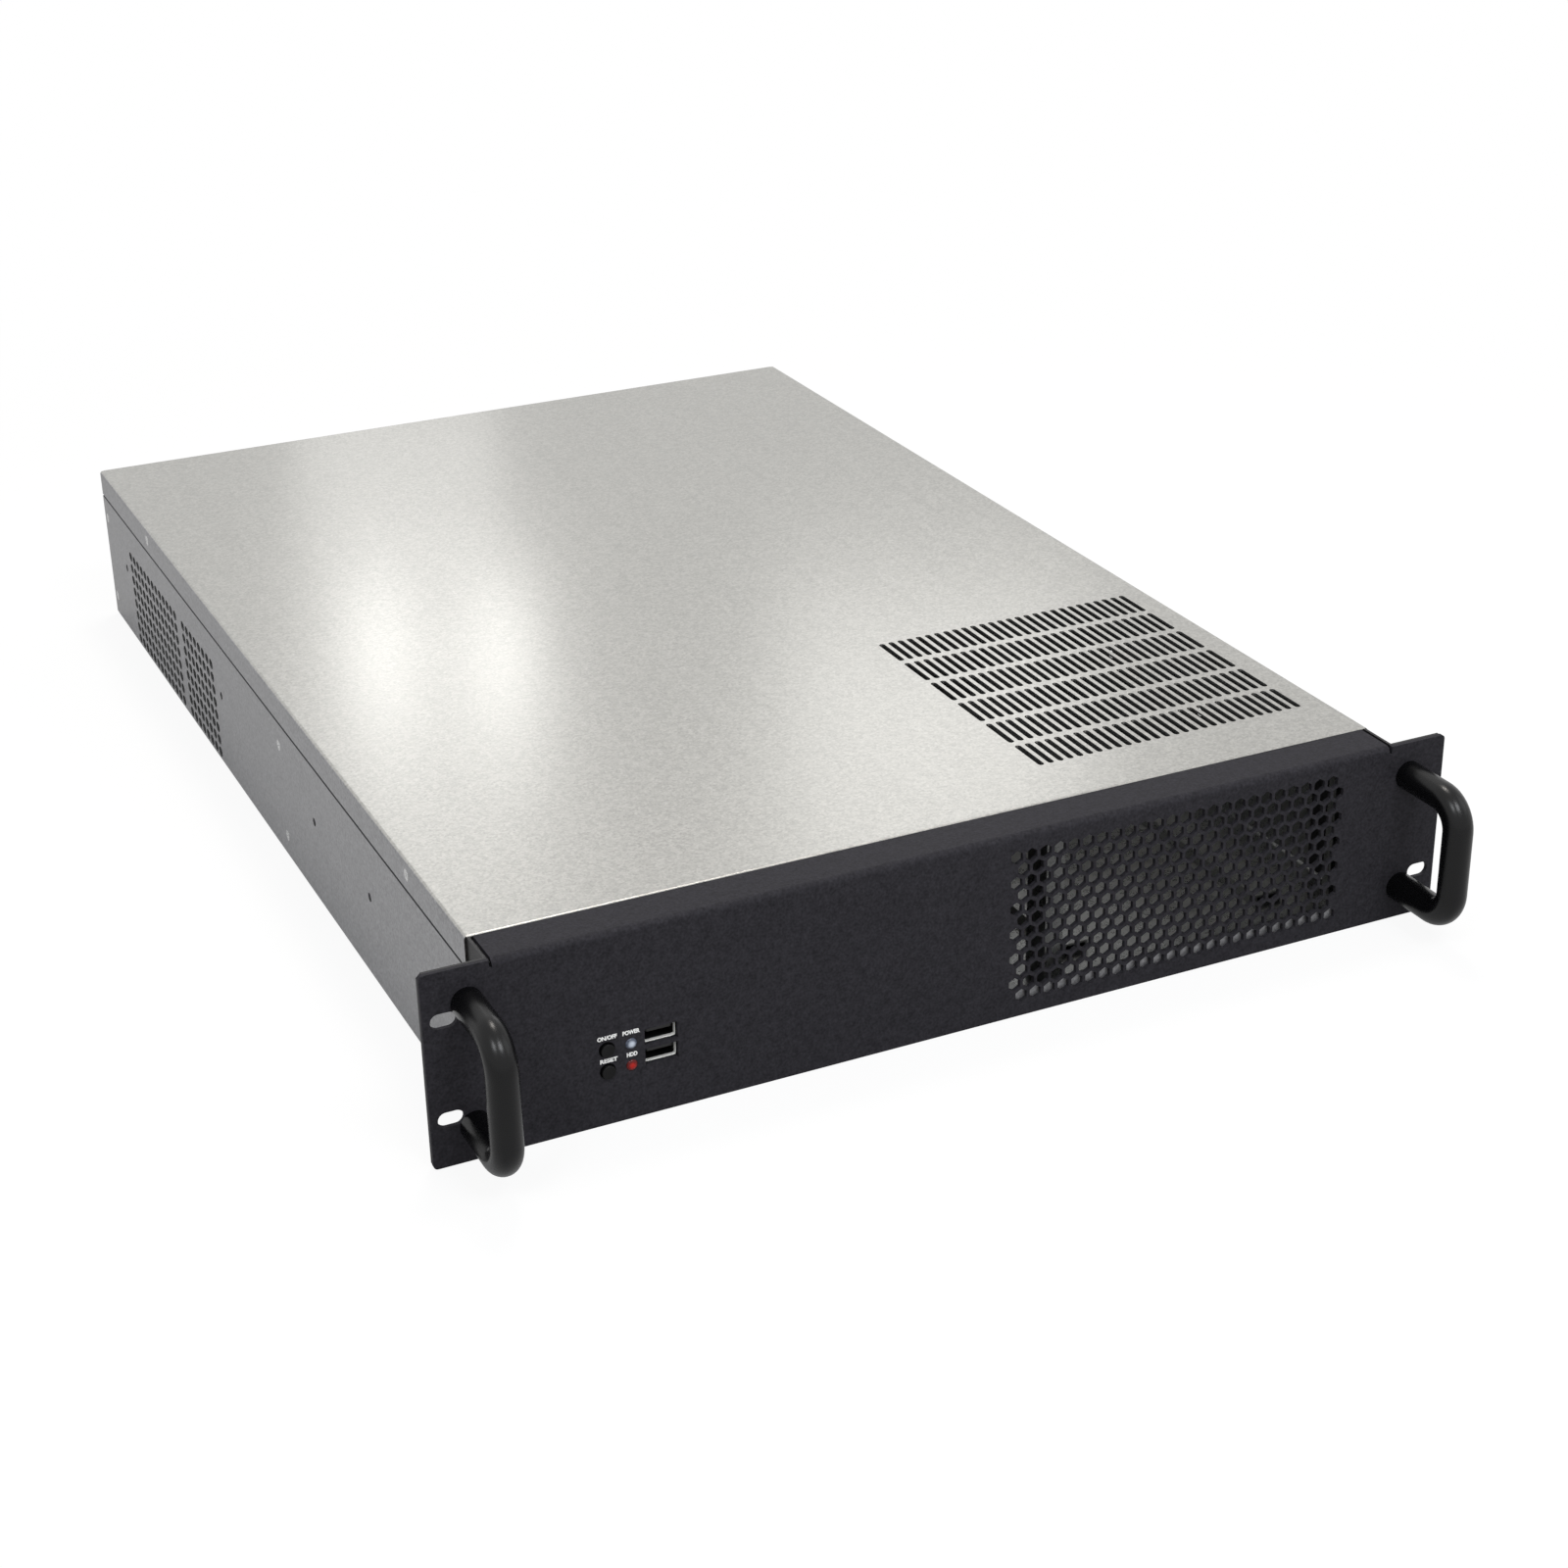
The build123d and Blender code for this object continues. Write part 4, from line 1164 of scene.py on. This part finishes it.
@dataclass
class Controls:
    """Buttons, lamps, sockets and printed words at the left of the front panel.

    The rings of each fitting are rows of a table, which ends at the tip that looks out.
    """

    button_x: float = -166.0
    lamp_x: float = -155.5
    upper_z: float = 34.9
    lower_z: float = 24.9
    lamp_dome: float = 1.1
    socket_x: float = -142.3
    socket_z: tuple[float, float] = (36.0, 26.9)
    panel: float = 2.0
    sleeve_wall: float = 0.35
    # Depth inside the lip past which the sleeve is painted black as shade.
    painted_shade_depth: float = 1.5
    contact_columns: tuple[float, ...] = (-3.5, -1.0, 1.0, 3.5)
    contact_rise: float = 0.45
    ink: float = 0.03
    word_height: float = 2.0
    words: tuple[tuple[str, str, float, float, float], ...] = (
        ("label_on_off", "ON/OFF", -165.7, 40.3, 8.5),
        ("label_power", "POWER", -155.3, 40.3, 7.5),
        ("label_reset", "RESET", -165.4, 29.8, 7.6),
        ("label_hdd", "HDD", -155.3, 30.0, 4.6),
    )

    def button(self, name: str, z: float, body: Body, node: str) -> None:
        """Cap with a rounded rim and a dished face, its square collar and its stem.

        Each ring is a superellipse, from a circle for the cap to a square for the stem.
        A row holds its width, its squareness and its depth.

        Args:
            name: name of the piece.
            z: height of its middle.
            body: the body that it rides on.
            node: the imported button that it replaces.
        """
        (_, front, _), (_, tip, _) = extent(node)
        rows = np.array([
            (3.0, 2, tip), (3.0, 12, tip - 0.2), (3.0, 12, 3.4), (8.4, 12, 3.3), (8.6, 12, 3.1),
            (8.6, 12, 2.5), (8.4, 12, 2.3), (6.0, 2, 2.3), (6.0, 2, front + 0.5), (5.8, 2, front + 0.15),
            (5.4, 2, front), (4.6, 2, front + 0.04), (2.8, 2, front + 0.2), (1.0, 2, front + 0.28),
        ])
        rings = np.stack([superellipse(width, width, power, count=40) for width, power, _ in rows])
        stack = fitting(Facing.FRONT, (self.button_x, 0, z), rings, -rows[:, 2:])
        fit_rings(name, [stack], BUTTON_PLASTIC, body, node)

    def lamp(self, name: str, z: float, node: str, finish: Finish, slot: str) -> None:
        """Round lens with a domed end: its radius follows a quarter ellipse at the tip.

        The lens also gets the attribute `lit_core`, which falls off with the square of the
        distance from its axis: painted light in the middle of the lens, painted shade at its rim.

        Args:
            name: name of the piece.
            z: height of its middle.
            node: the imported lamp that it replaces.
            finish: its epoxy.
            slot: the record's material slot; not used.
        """
        (left, front, _), (right, tip, _) = extent(node)
        radius, dome = (right - left) / 2, self.lamp_dome
        # A narrower stem at the back, the lens itself, and a dome that stops just short of a point.
        turn = np.linspace(0, TAU / 4 * 0.94, 9)
        radii = np.concatenate([[radius * 0.6, radius * 0.6, radius, radius], radius * np.cos(turn)])
        depths = np.concatenate([[tip, 5.0, 4.6, 1.2], front + dome - dome * np.sin(turn)])
        rings = radii[:, None, None] * superellipse(2, 2, 2, count=40)[None]
        piece = ring_stack(name, [fitting(Facing.FRONT, (self.lamp_x, 0, z), rings, -depths[:, None])])
        points = values(piece.data.vertices, "co")
        off_axis = np.hypot(points[:, 0] / MM - self.lamp_x, points[:, 2] / MM - z) / radius
        # Painted light and shade: the attribute is 1 on the lens's axis and 0 towards its rim.
        lit_core = piece.data.attributes.new("lit_core", "FLOAT", "POINT")
        lit_core.data.foreach_set("value", np.clip(1.15 - 2.4 * off_axis ** 2, 0, 1).astype(np.float32))
        dress(piece, finish)
        hand_over(piece, Body.CASE, node)

    def sleeve(self, name: str, z: float) -> None:
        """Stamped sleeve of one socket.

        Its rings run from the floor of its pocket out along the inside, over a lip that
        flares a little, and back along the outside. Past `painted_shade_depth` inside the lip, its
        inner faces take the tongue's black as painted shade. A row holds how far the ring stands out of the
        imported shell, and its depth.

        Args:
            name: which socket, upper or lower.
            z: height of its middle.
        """
        low, high = extent(f"usb_shell_{name}")
        (width, _, height), end = high - low, high[1]
        lip, wall = self.panel + 0.05, self.sleeve_wall
        shade_start = lip + self.painted_shade_depth
        rows = np.array([
            (-wall, end - 1.0), (-wall, shade_start), (-wall, lip + 0.5), (-wall + 0.1, lip + 0.1), (-0.1, lip),
            (0.12, lip + 0.05), (0.12, lip + 0.35), (0.0, lip + 0.8), (0.0, end),
        ])
        rings = np.stack([
            superellipse(width + 2 * grow, height + 2 * grow, 14, count=48) for grow, _ in rows])
        at = (self.socket_x, 0, z)
        sleeve = ring_stack(f"usb_sleeve_{name}", [fitting(Facing.FRONT, at, rings, -rows[:, 1:])])
        dress(sleeve, SOCKET_TIN)
        centres, normals = faces_of(sleeve)
        inner = (normals * (centres - place(at)))[:, [0, 2]].sum(axis=1) < 0
        # Painted shade: the faces deep inside the sleeve are black, where little light reaches.
        shaded_deep = centres[:, 1] > FRONT_Y + (shade_start + 0.1) * MM
        dress_faces(sleeve, TONGUE_AND_SHADE_PLASTIC, shaded_deep & (inner | (normals[:, 1] < -ALONG)))
        hand_over(sleeve, Body.CASE, f"usb_shell_{name}")

    def tongue(self, name: str) -> None:
        """Tongue inside one socket, which tapers at its tip, more in height than in width.

        A row holds the ring's share of the full height, and its depth.

        Args:
            name: which socket, upper or lower.
        """
        node = f"usb_tongue_{name}"
        low, high = extent(node)
        (width, _, height), end, lip = high - low, high[1], self.panel + 0.05
        rows = np.array([(1.0, end), (1.0, lip + 1.2), (0.8, lip + 0.7), (0.7, lip + 0.6)])
        shares = 1 - (1 - rows[:, :1, None]) * np.array([0.2, 1.0])
        rings = superellipse(width, height, 12, count=40) * shares
        at = (self.socket_x, 0, (low[2] + high[2]) / 2)
        stack = fitting(Facing.FRONT, at, rings, -rows[:, 1:])
        fit_rings(f"usb_blade_{name}", [stack], TONGUE_AND_SHADE_PLASTIC, Body.CASE, node)

    def contacts(self) -> None:
        """Four gilt strips under each tongue, with narrower ends."""
        rows = np.array([(0.8, 4.6), (1.0, 4.8), (1.0, 9.5), (1.0, 10.0)])
        rings = superellipse(1.0, 0.3, 8, count=16) * rows[:, :1, None]
        strips = [
            fitting(Facing.FRONT, (self.socket_x + column, 0, z + self.contact_rise), rings, -rows[:, 1:])
            for z in self.socket_z for column in self.contact_columns
        ]
        fit_rings("socket_contacts", strips, CONTACT_GOLD)

    def label(self, name: str, text: str, x: float, z: float, width: float) -> None:
        """Word printed on the panel: a text made into a mesh, then scaled to its measured size.

        Args:
            name: name of the piece.
            text: the word.
            x: place of its middle.
            z: height of its middle.
            width: its full width.
        """
        curve = bpy.data.curves.new(name, "FONT")
        curve.body = text
        curve.align_x, curve.align_y = "CENTER", "CENTER"
        # The offset makes the strokes bolder, as the real print is.
        curve.extrude = 0.02
        curve.offset = 0.05
        source = linked(name, curve)
        mesh = shown_mesh(source)
        bpy.data.objects.remove(source)
        points = values(mesh.vertices, "co")
        low, high = points.min(axis=0), points.max(axis=0)
        share = (points - (low + high) / 2) / (high - low)
        moved = np.stack([
            x + share[:, 0] * width, -self.ink - share[:, 2] * self.ink,
            z + share[:, 1] * self.word_height], axis=-1)
        mesh.vertices.foreach_set("co", place(moved).astype(np.float32).ravel())
        mesh.update()
        piece = linked(name, mesh)
        recalculate(piece)
        dress(piece, LABEL_INK)
        hand_over(piece, Body.CASE)

    def build(self) -> None:
        """Builds every control."""
        self.button("power_button_cap", self.upper_z, Body.POWER_BUTTON, "power_button")
        self.button("reset_button_cap", self.lower_z, Body.RESET_BUTTON, "reset_button")
        self.lamp("power_lamp_lens", self.upper_z, "power_lamp", CLEAR_EPOXY, "lamp_clear")
        self.lamp("disk_lamp_lens", self.lower_z, "disk_lamp", RED_EPOXY, "lamp_red")
        for name, z in zip(("upper", "lower"), self.socket_z):
            self.sleeve(name, z)
            self.tongue(name)
        self.contacts()
        for word in self.words:
            self.label(*word)


@dataclass
class Inlet:
    """Bright blades over the plain pins of the appliance inlet."""

    x: float = -184.0
    z: float = 42.0
    blade: tuple[float, float] = (2.1, 4.1)
    spacing: float = 7.0
    drop: float = 1.0
    earth_rise: float = 3.0
    rear: float = 648.7
    wall: float = 1.8
    depth: float = 18.0

    def build(self) -> None:
        """Blades with a rounded rectangular section that tapers at the tip.

        A row holds the ring's share of the full section, and its depth in the inlet.
        """
        start, end = self.depth - self.wall - 0.05, self.wall - 0.05
        rows = np.array([(1.0, start), (1.0, end + 1.2), (0.85, end + 0.3), (0.6, end)])
        rings = superellipse(*self.blade, 8, count=32) * rows[:, :1, None]
        pins = ((-self.spacing, -self.drop), (0.0, self.earth_rise), (self.spacing, -self.drop))
        blades = [
            fitting(Facing.REAR, (self.x + side, self.rear, self.z + rise), rings, -rows[:, 1:])
            for side, rise in pins
        ]
        fit_rings("inlet_blades", blades, BRIGHT_TIN)


@dataclass
class CarriedOver:
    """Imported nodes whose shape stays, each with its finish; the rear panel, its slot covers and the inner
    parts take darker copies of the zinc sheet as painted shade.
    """

    finishes: tuple[tuple[str, Finish], ...] = (
        ("ear_bracket_left", BRACKET_PAINT), ("ear_bracket_right", BRACKET_PAINT),
        ("front_crossbar", SHADED_INNER_STEEL), ("fan_wall", SHADED_INNER_STEEL), ("drive_cage", SHADED_INNER_STEEL),
        ("supply_frame", SHADED_INNER_STEEL), ("supply_runners", SHADED_INNER_STEEL), ("rear_panel", SHADED_WALL_STEEL),
        ("power_inlet", INLET_PLASTIC), ("board_standoffs", POST_BRASS),
        ("control_board", BOARD_MASK), ("control_board_posts", POST_BRASS),
        ("power_switch", SWITCH_PLASTIC), ("reset_switch", SWITCH_PLASTIC),
        *((f"slot_cover_{index}", SHADED_WALL_STEEL) for index in SLOT_COVERS),
    )

    def build(self) -> None:
        """Assigns the finishes to the nodes' material slots."""
        for node, finish in self.finishes:
            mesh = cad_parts[node].data
            mesh.materials.clear()
            mesh.materials.append(finish.material())
            log.info("%s carried over in %s", node, finish.name)


# Studio


@dataclass
class Studio:
    """Camera at the photograph's place, soft boxes, white surroundings and a pale floor.

    Attributes:
        azimuth, elevation, roll: the camera's angles in degrees.
        lens: its focal length in millimetres, on a sensor of the width `sensor`.
        location: its place in metres.
        ambient: strength of the surroundings where they light a surface.
        lid_z: height of the lid in metres.
        seen_share: how much of the floor is plain white to the camera near the case.
        mirrored_share: the same in reflections.
        fade: distances in metres from the middle over which the floor turns plain white.
        floor_reach: half the floor's width in metres.
        floor_drop: how far it lies under the case, in metres.
    """

    azimuth: float = -25.01
    elevation: float = 25.56
    roll: float = -1.03
    lens: float = 63.39
    sensor: float = 36.0
    location: Point = (-0.5020, -1.2172, 0.6059)
    ambient: float = 0.45
    lid_z: float = 0.0879
    seen_share: float = 0.9
    mirrored_share: float = 0.3
    fade: tuple[float, float] = (0.55, 1.0)
    floor_reach: float = 6.0
    floor_drop: float = 0.0002

    def camera(self) -> None:
        """Camera turned by azimuth, elevation and roll about its place."""
        degrees = (self.azimuth, self.elevation, self.roll)
        azimuth, elevation, roll = (math.radians(angle) for angle in degrees)
        level = math.cos(elevation)
        back = Vector((math.sin(azimuth) * level, -math.cos(azimuth) * level, math.sin(elevation)))
        right = (-back).cross(Vector((0, 0, 1))).normalized()
        upward = right.cross(-back)
        side = right * math.cos(roll) + upward * math.sin(roll)
        top = upward * math.cos(roll) - right * math.sin(roll)
        data = bpy.data.cameras.new("camera")
        data.lens, data.sensor_width = self.lens, self.sensor
        camera = linked("camera", data)
        camera.rotation_mode = "QUATERNION"
        camera.rotation_quaternion = Matrix((side, top, back)).transposed().to_quaternion()
        camera.location = self.location
        bpy.context.scene.camera = camera

    def soft_box(self, name: str, location: Vector, target: Vector, size: tuple[float, float],
                 watts: float, tint: Point = (1, 1, 1)) -> None:
        """Rectangular lamp that looks at a point.

        Args:
            name: name of the lamp.
            location: its place in metres.
            target: the point that it looks at.
            size: its width and height in metres.
            watts: its power.
            tint: its colour, linear.
        """
        data = bpy.data.lights.new(name, "AREA")
        data.shape, data.size, data.size_y = "RECTANGLE", *size
        data.energy = watts
        data.color = tint
        lamp = linked(name, data)
        lamp.location = location
        lamp.rotation_mode = "QUATERNION"
        lamp.rotation_quaternion = (target - location).to_track_quat("-Z", "Y")
        lamp.visible_camera = False

    def mirrored(self, spot: tuple[float, float], distance: float) -> tuple[Vector, Vector]:
        """Where a lamp hangs so that the lid mirrors it to the camera at a spot.

        The line from the camera's mirror image below the lid through the spot goes on
        for `distance` metres above it.

        Args:
            spot: x and y on the lid, in metres.
            distance: from the spot to the lamp.

        Returns:
            The lamp's place and the spot.
        """
        image = Vector((*self.location[:2], 2 * self.lid_z - self.location[2]))
        point = Vector((*spot, self.lid_z))
        return point + (point - image).normalized() * distance, point

    def lamps(self) -> None:
        """Boxes that glow in the lid, and wide ones that light the whole."""
        glows = (
            ("glow_left", (-0.168, -0.058), 0.45, (0.036, 0.06), 0.028),
            ("glow_right", (-0.117, -0.086), 0.45, (0.036, 0.06), 0.031),
            ("glow_wide", (-0.18, -0.15), 0.7, (0.14, 0.5), 0.12),
            ("glow_near", (0.01, -0.27), 0.6, (0.2, 0.2), 0.13),
        )
        for name, spot, distance, size, watts in glows:
            self.soft_box(name, *self.mirrored(spot, distance), size, watts)
        middle, cool, warm = Vector((0, 0, 0.04)), (0.95, 0.97, 1.0), (1.0, 0.95, 0.89)
        boxes = (
            ("key", (-1.6, -1.6, 2.4), 0.8, 22, cool), ("fill", (2.2, -1.2, 1.8), 1.6, 8, cool),
            ("top", (0.4, 0.7, 2.7), 0.6, 24, warm), ("glint", (0.2, -1.55, 1.85), 0.7, 18, cool),
        )
        for name, location, size, watts, tint in boxes:
            self.soft_box(name, Vector(location), middle, (size, size), watts, tint)

    def surroundings(self) -> None:
        """White to the camera and in reflections, dimmer where it lights the surfaces."""
        world = bpy.data.worlds.new("surroundings")
        tree = empty_tree(world)
        path = add(tree, "LightPath")
        seen = add(tree, "Math", {
            0: path.outputs["Is Camera Ray"], 1: path.outputs["Is Glossy Ray"]}, operation="MAXIMUM")
        either = add(tree, "Math", {
            0: seen.outputs[0], 1: path.outputs["Is Transmission Ray"]}, operation="MAXIMUM")
        dim = add(tree, "Background", {"Color": WHITE, "Strength": self.ambient})
        white = add(tree, "Background", {"Color": WHITE, "Strength": 1.0})
        mixed = add(tree, "MixShader", {0: either.outputs[0], 1: dim.outputs[0], 2: white.outputs[0]})
        add(tree, "OutputWorld", {"Surface": mixed.outputs[0]})
        bpy.context.scene.world = world

    def floor(self) -> None:
        """Pale floor that is nearly white to the camera and keeps the case's soft shadow.

        A share of what the camera sees is plain white, and the rest is a white floor under
        the lamps. The share grows from `seen_share` to the whole over the `fade` distances
        from the middle, so that the floor ends in the white surroundings.
        """
        corners = np.array([[-1, -1, 0], [1, -1, 0], [1, 1, 0], [-1, 1, 0]], float) * self.floor_reach
        corners[:, 2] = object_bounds()[0].z - self.floor_drop
        floor = new_piece("floor", corners, [[0, 1, 2, 3]])
        material = bpy.data.materials.new("pale_floor")
        tree = empty_tree(material)
        path = add(tree, "LightPath")
        mirrored = add(tree, "Math", {
            0: path.outputs["Is Glossy Ray"], 1: path.outputs["Is Transmission Ray"]}, operation="MAXIMUM")
        partly = add(tree, "Math", {
            0: mirrored.outputs[0], 1: self.mirrored_share}, operation="MULTIPLY")
        where = add(tree, "TexCoord").outputs["Object"]
        away = add(tree, "VectorMath", {0: where}, operation="LENGTH")
        faded = add(tree, "MapRange", {
            "Value": away.outputs["Value"], "From Min": self.fade[0], "From Max": self.fade[1],
            "To Min": self.seen_share, "To Max": 1.0}, interpolation_type="SMOOTHSTEP")
        seen = add(tree, "Math", {
            0: path.outputs["Is Camera Ray"], 1: faded.outputs[0]}, operation="MULTIPLY")
        share = add(tree, "Math", {0: seen.outputs[0], 1: partly.outputs[0]}, operation="MAXIMUM")
        tone = add(tree, "Mix", {
            0: path.outputs["Is Camera Ray"], 6: linear("#C8C8C8"), 7: WHITE}, data_type="RGBA")
        plain = add(tree, "BsdfDiffuse", {"Color": tone.outputs[2]})
        white = add(tree, "Emission", {"Color": WHITE, "Strength": 1.0})
        mixed = add(tree, "MixShader", {0: share.outputs[0], 1: plain.outputs[0], 2: white.outputs[0]})
        add(tree, "OutputMaterial", {"Surface": mixed.outputs[0]})
        floor.data.materials.append(material)
        floor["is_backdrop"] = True

    def build(self) -> None:
        """Sets up the whole studio."""
        self.camera()
        self.lamps()
        self.surroundings()
        self.floor()
        bpy.context.scene.view_settings.view_transform = "Standard"


def main() -> None:
    """Builds the studio and the case, piece by piece."""
    logging.basicConfig(level=logging.INFO, format="%(name)s: %(message)s")
    for assembly in (Studio(), CarriedOver(), TopCover(), Tray(), FrontPanel(), Handles(),
                     Fasteners(), Controls(), Inlet()):
        assembly.build()


if __name__ == "__main__":
    main()
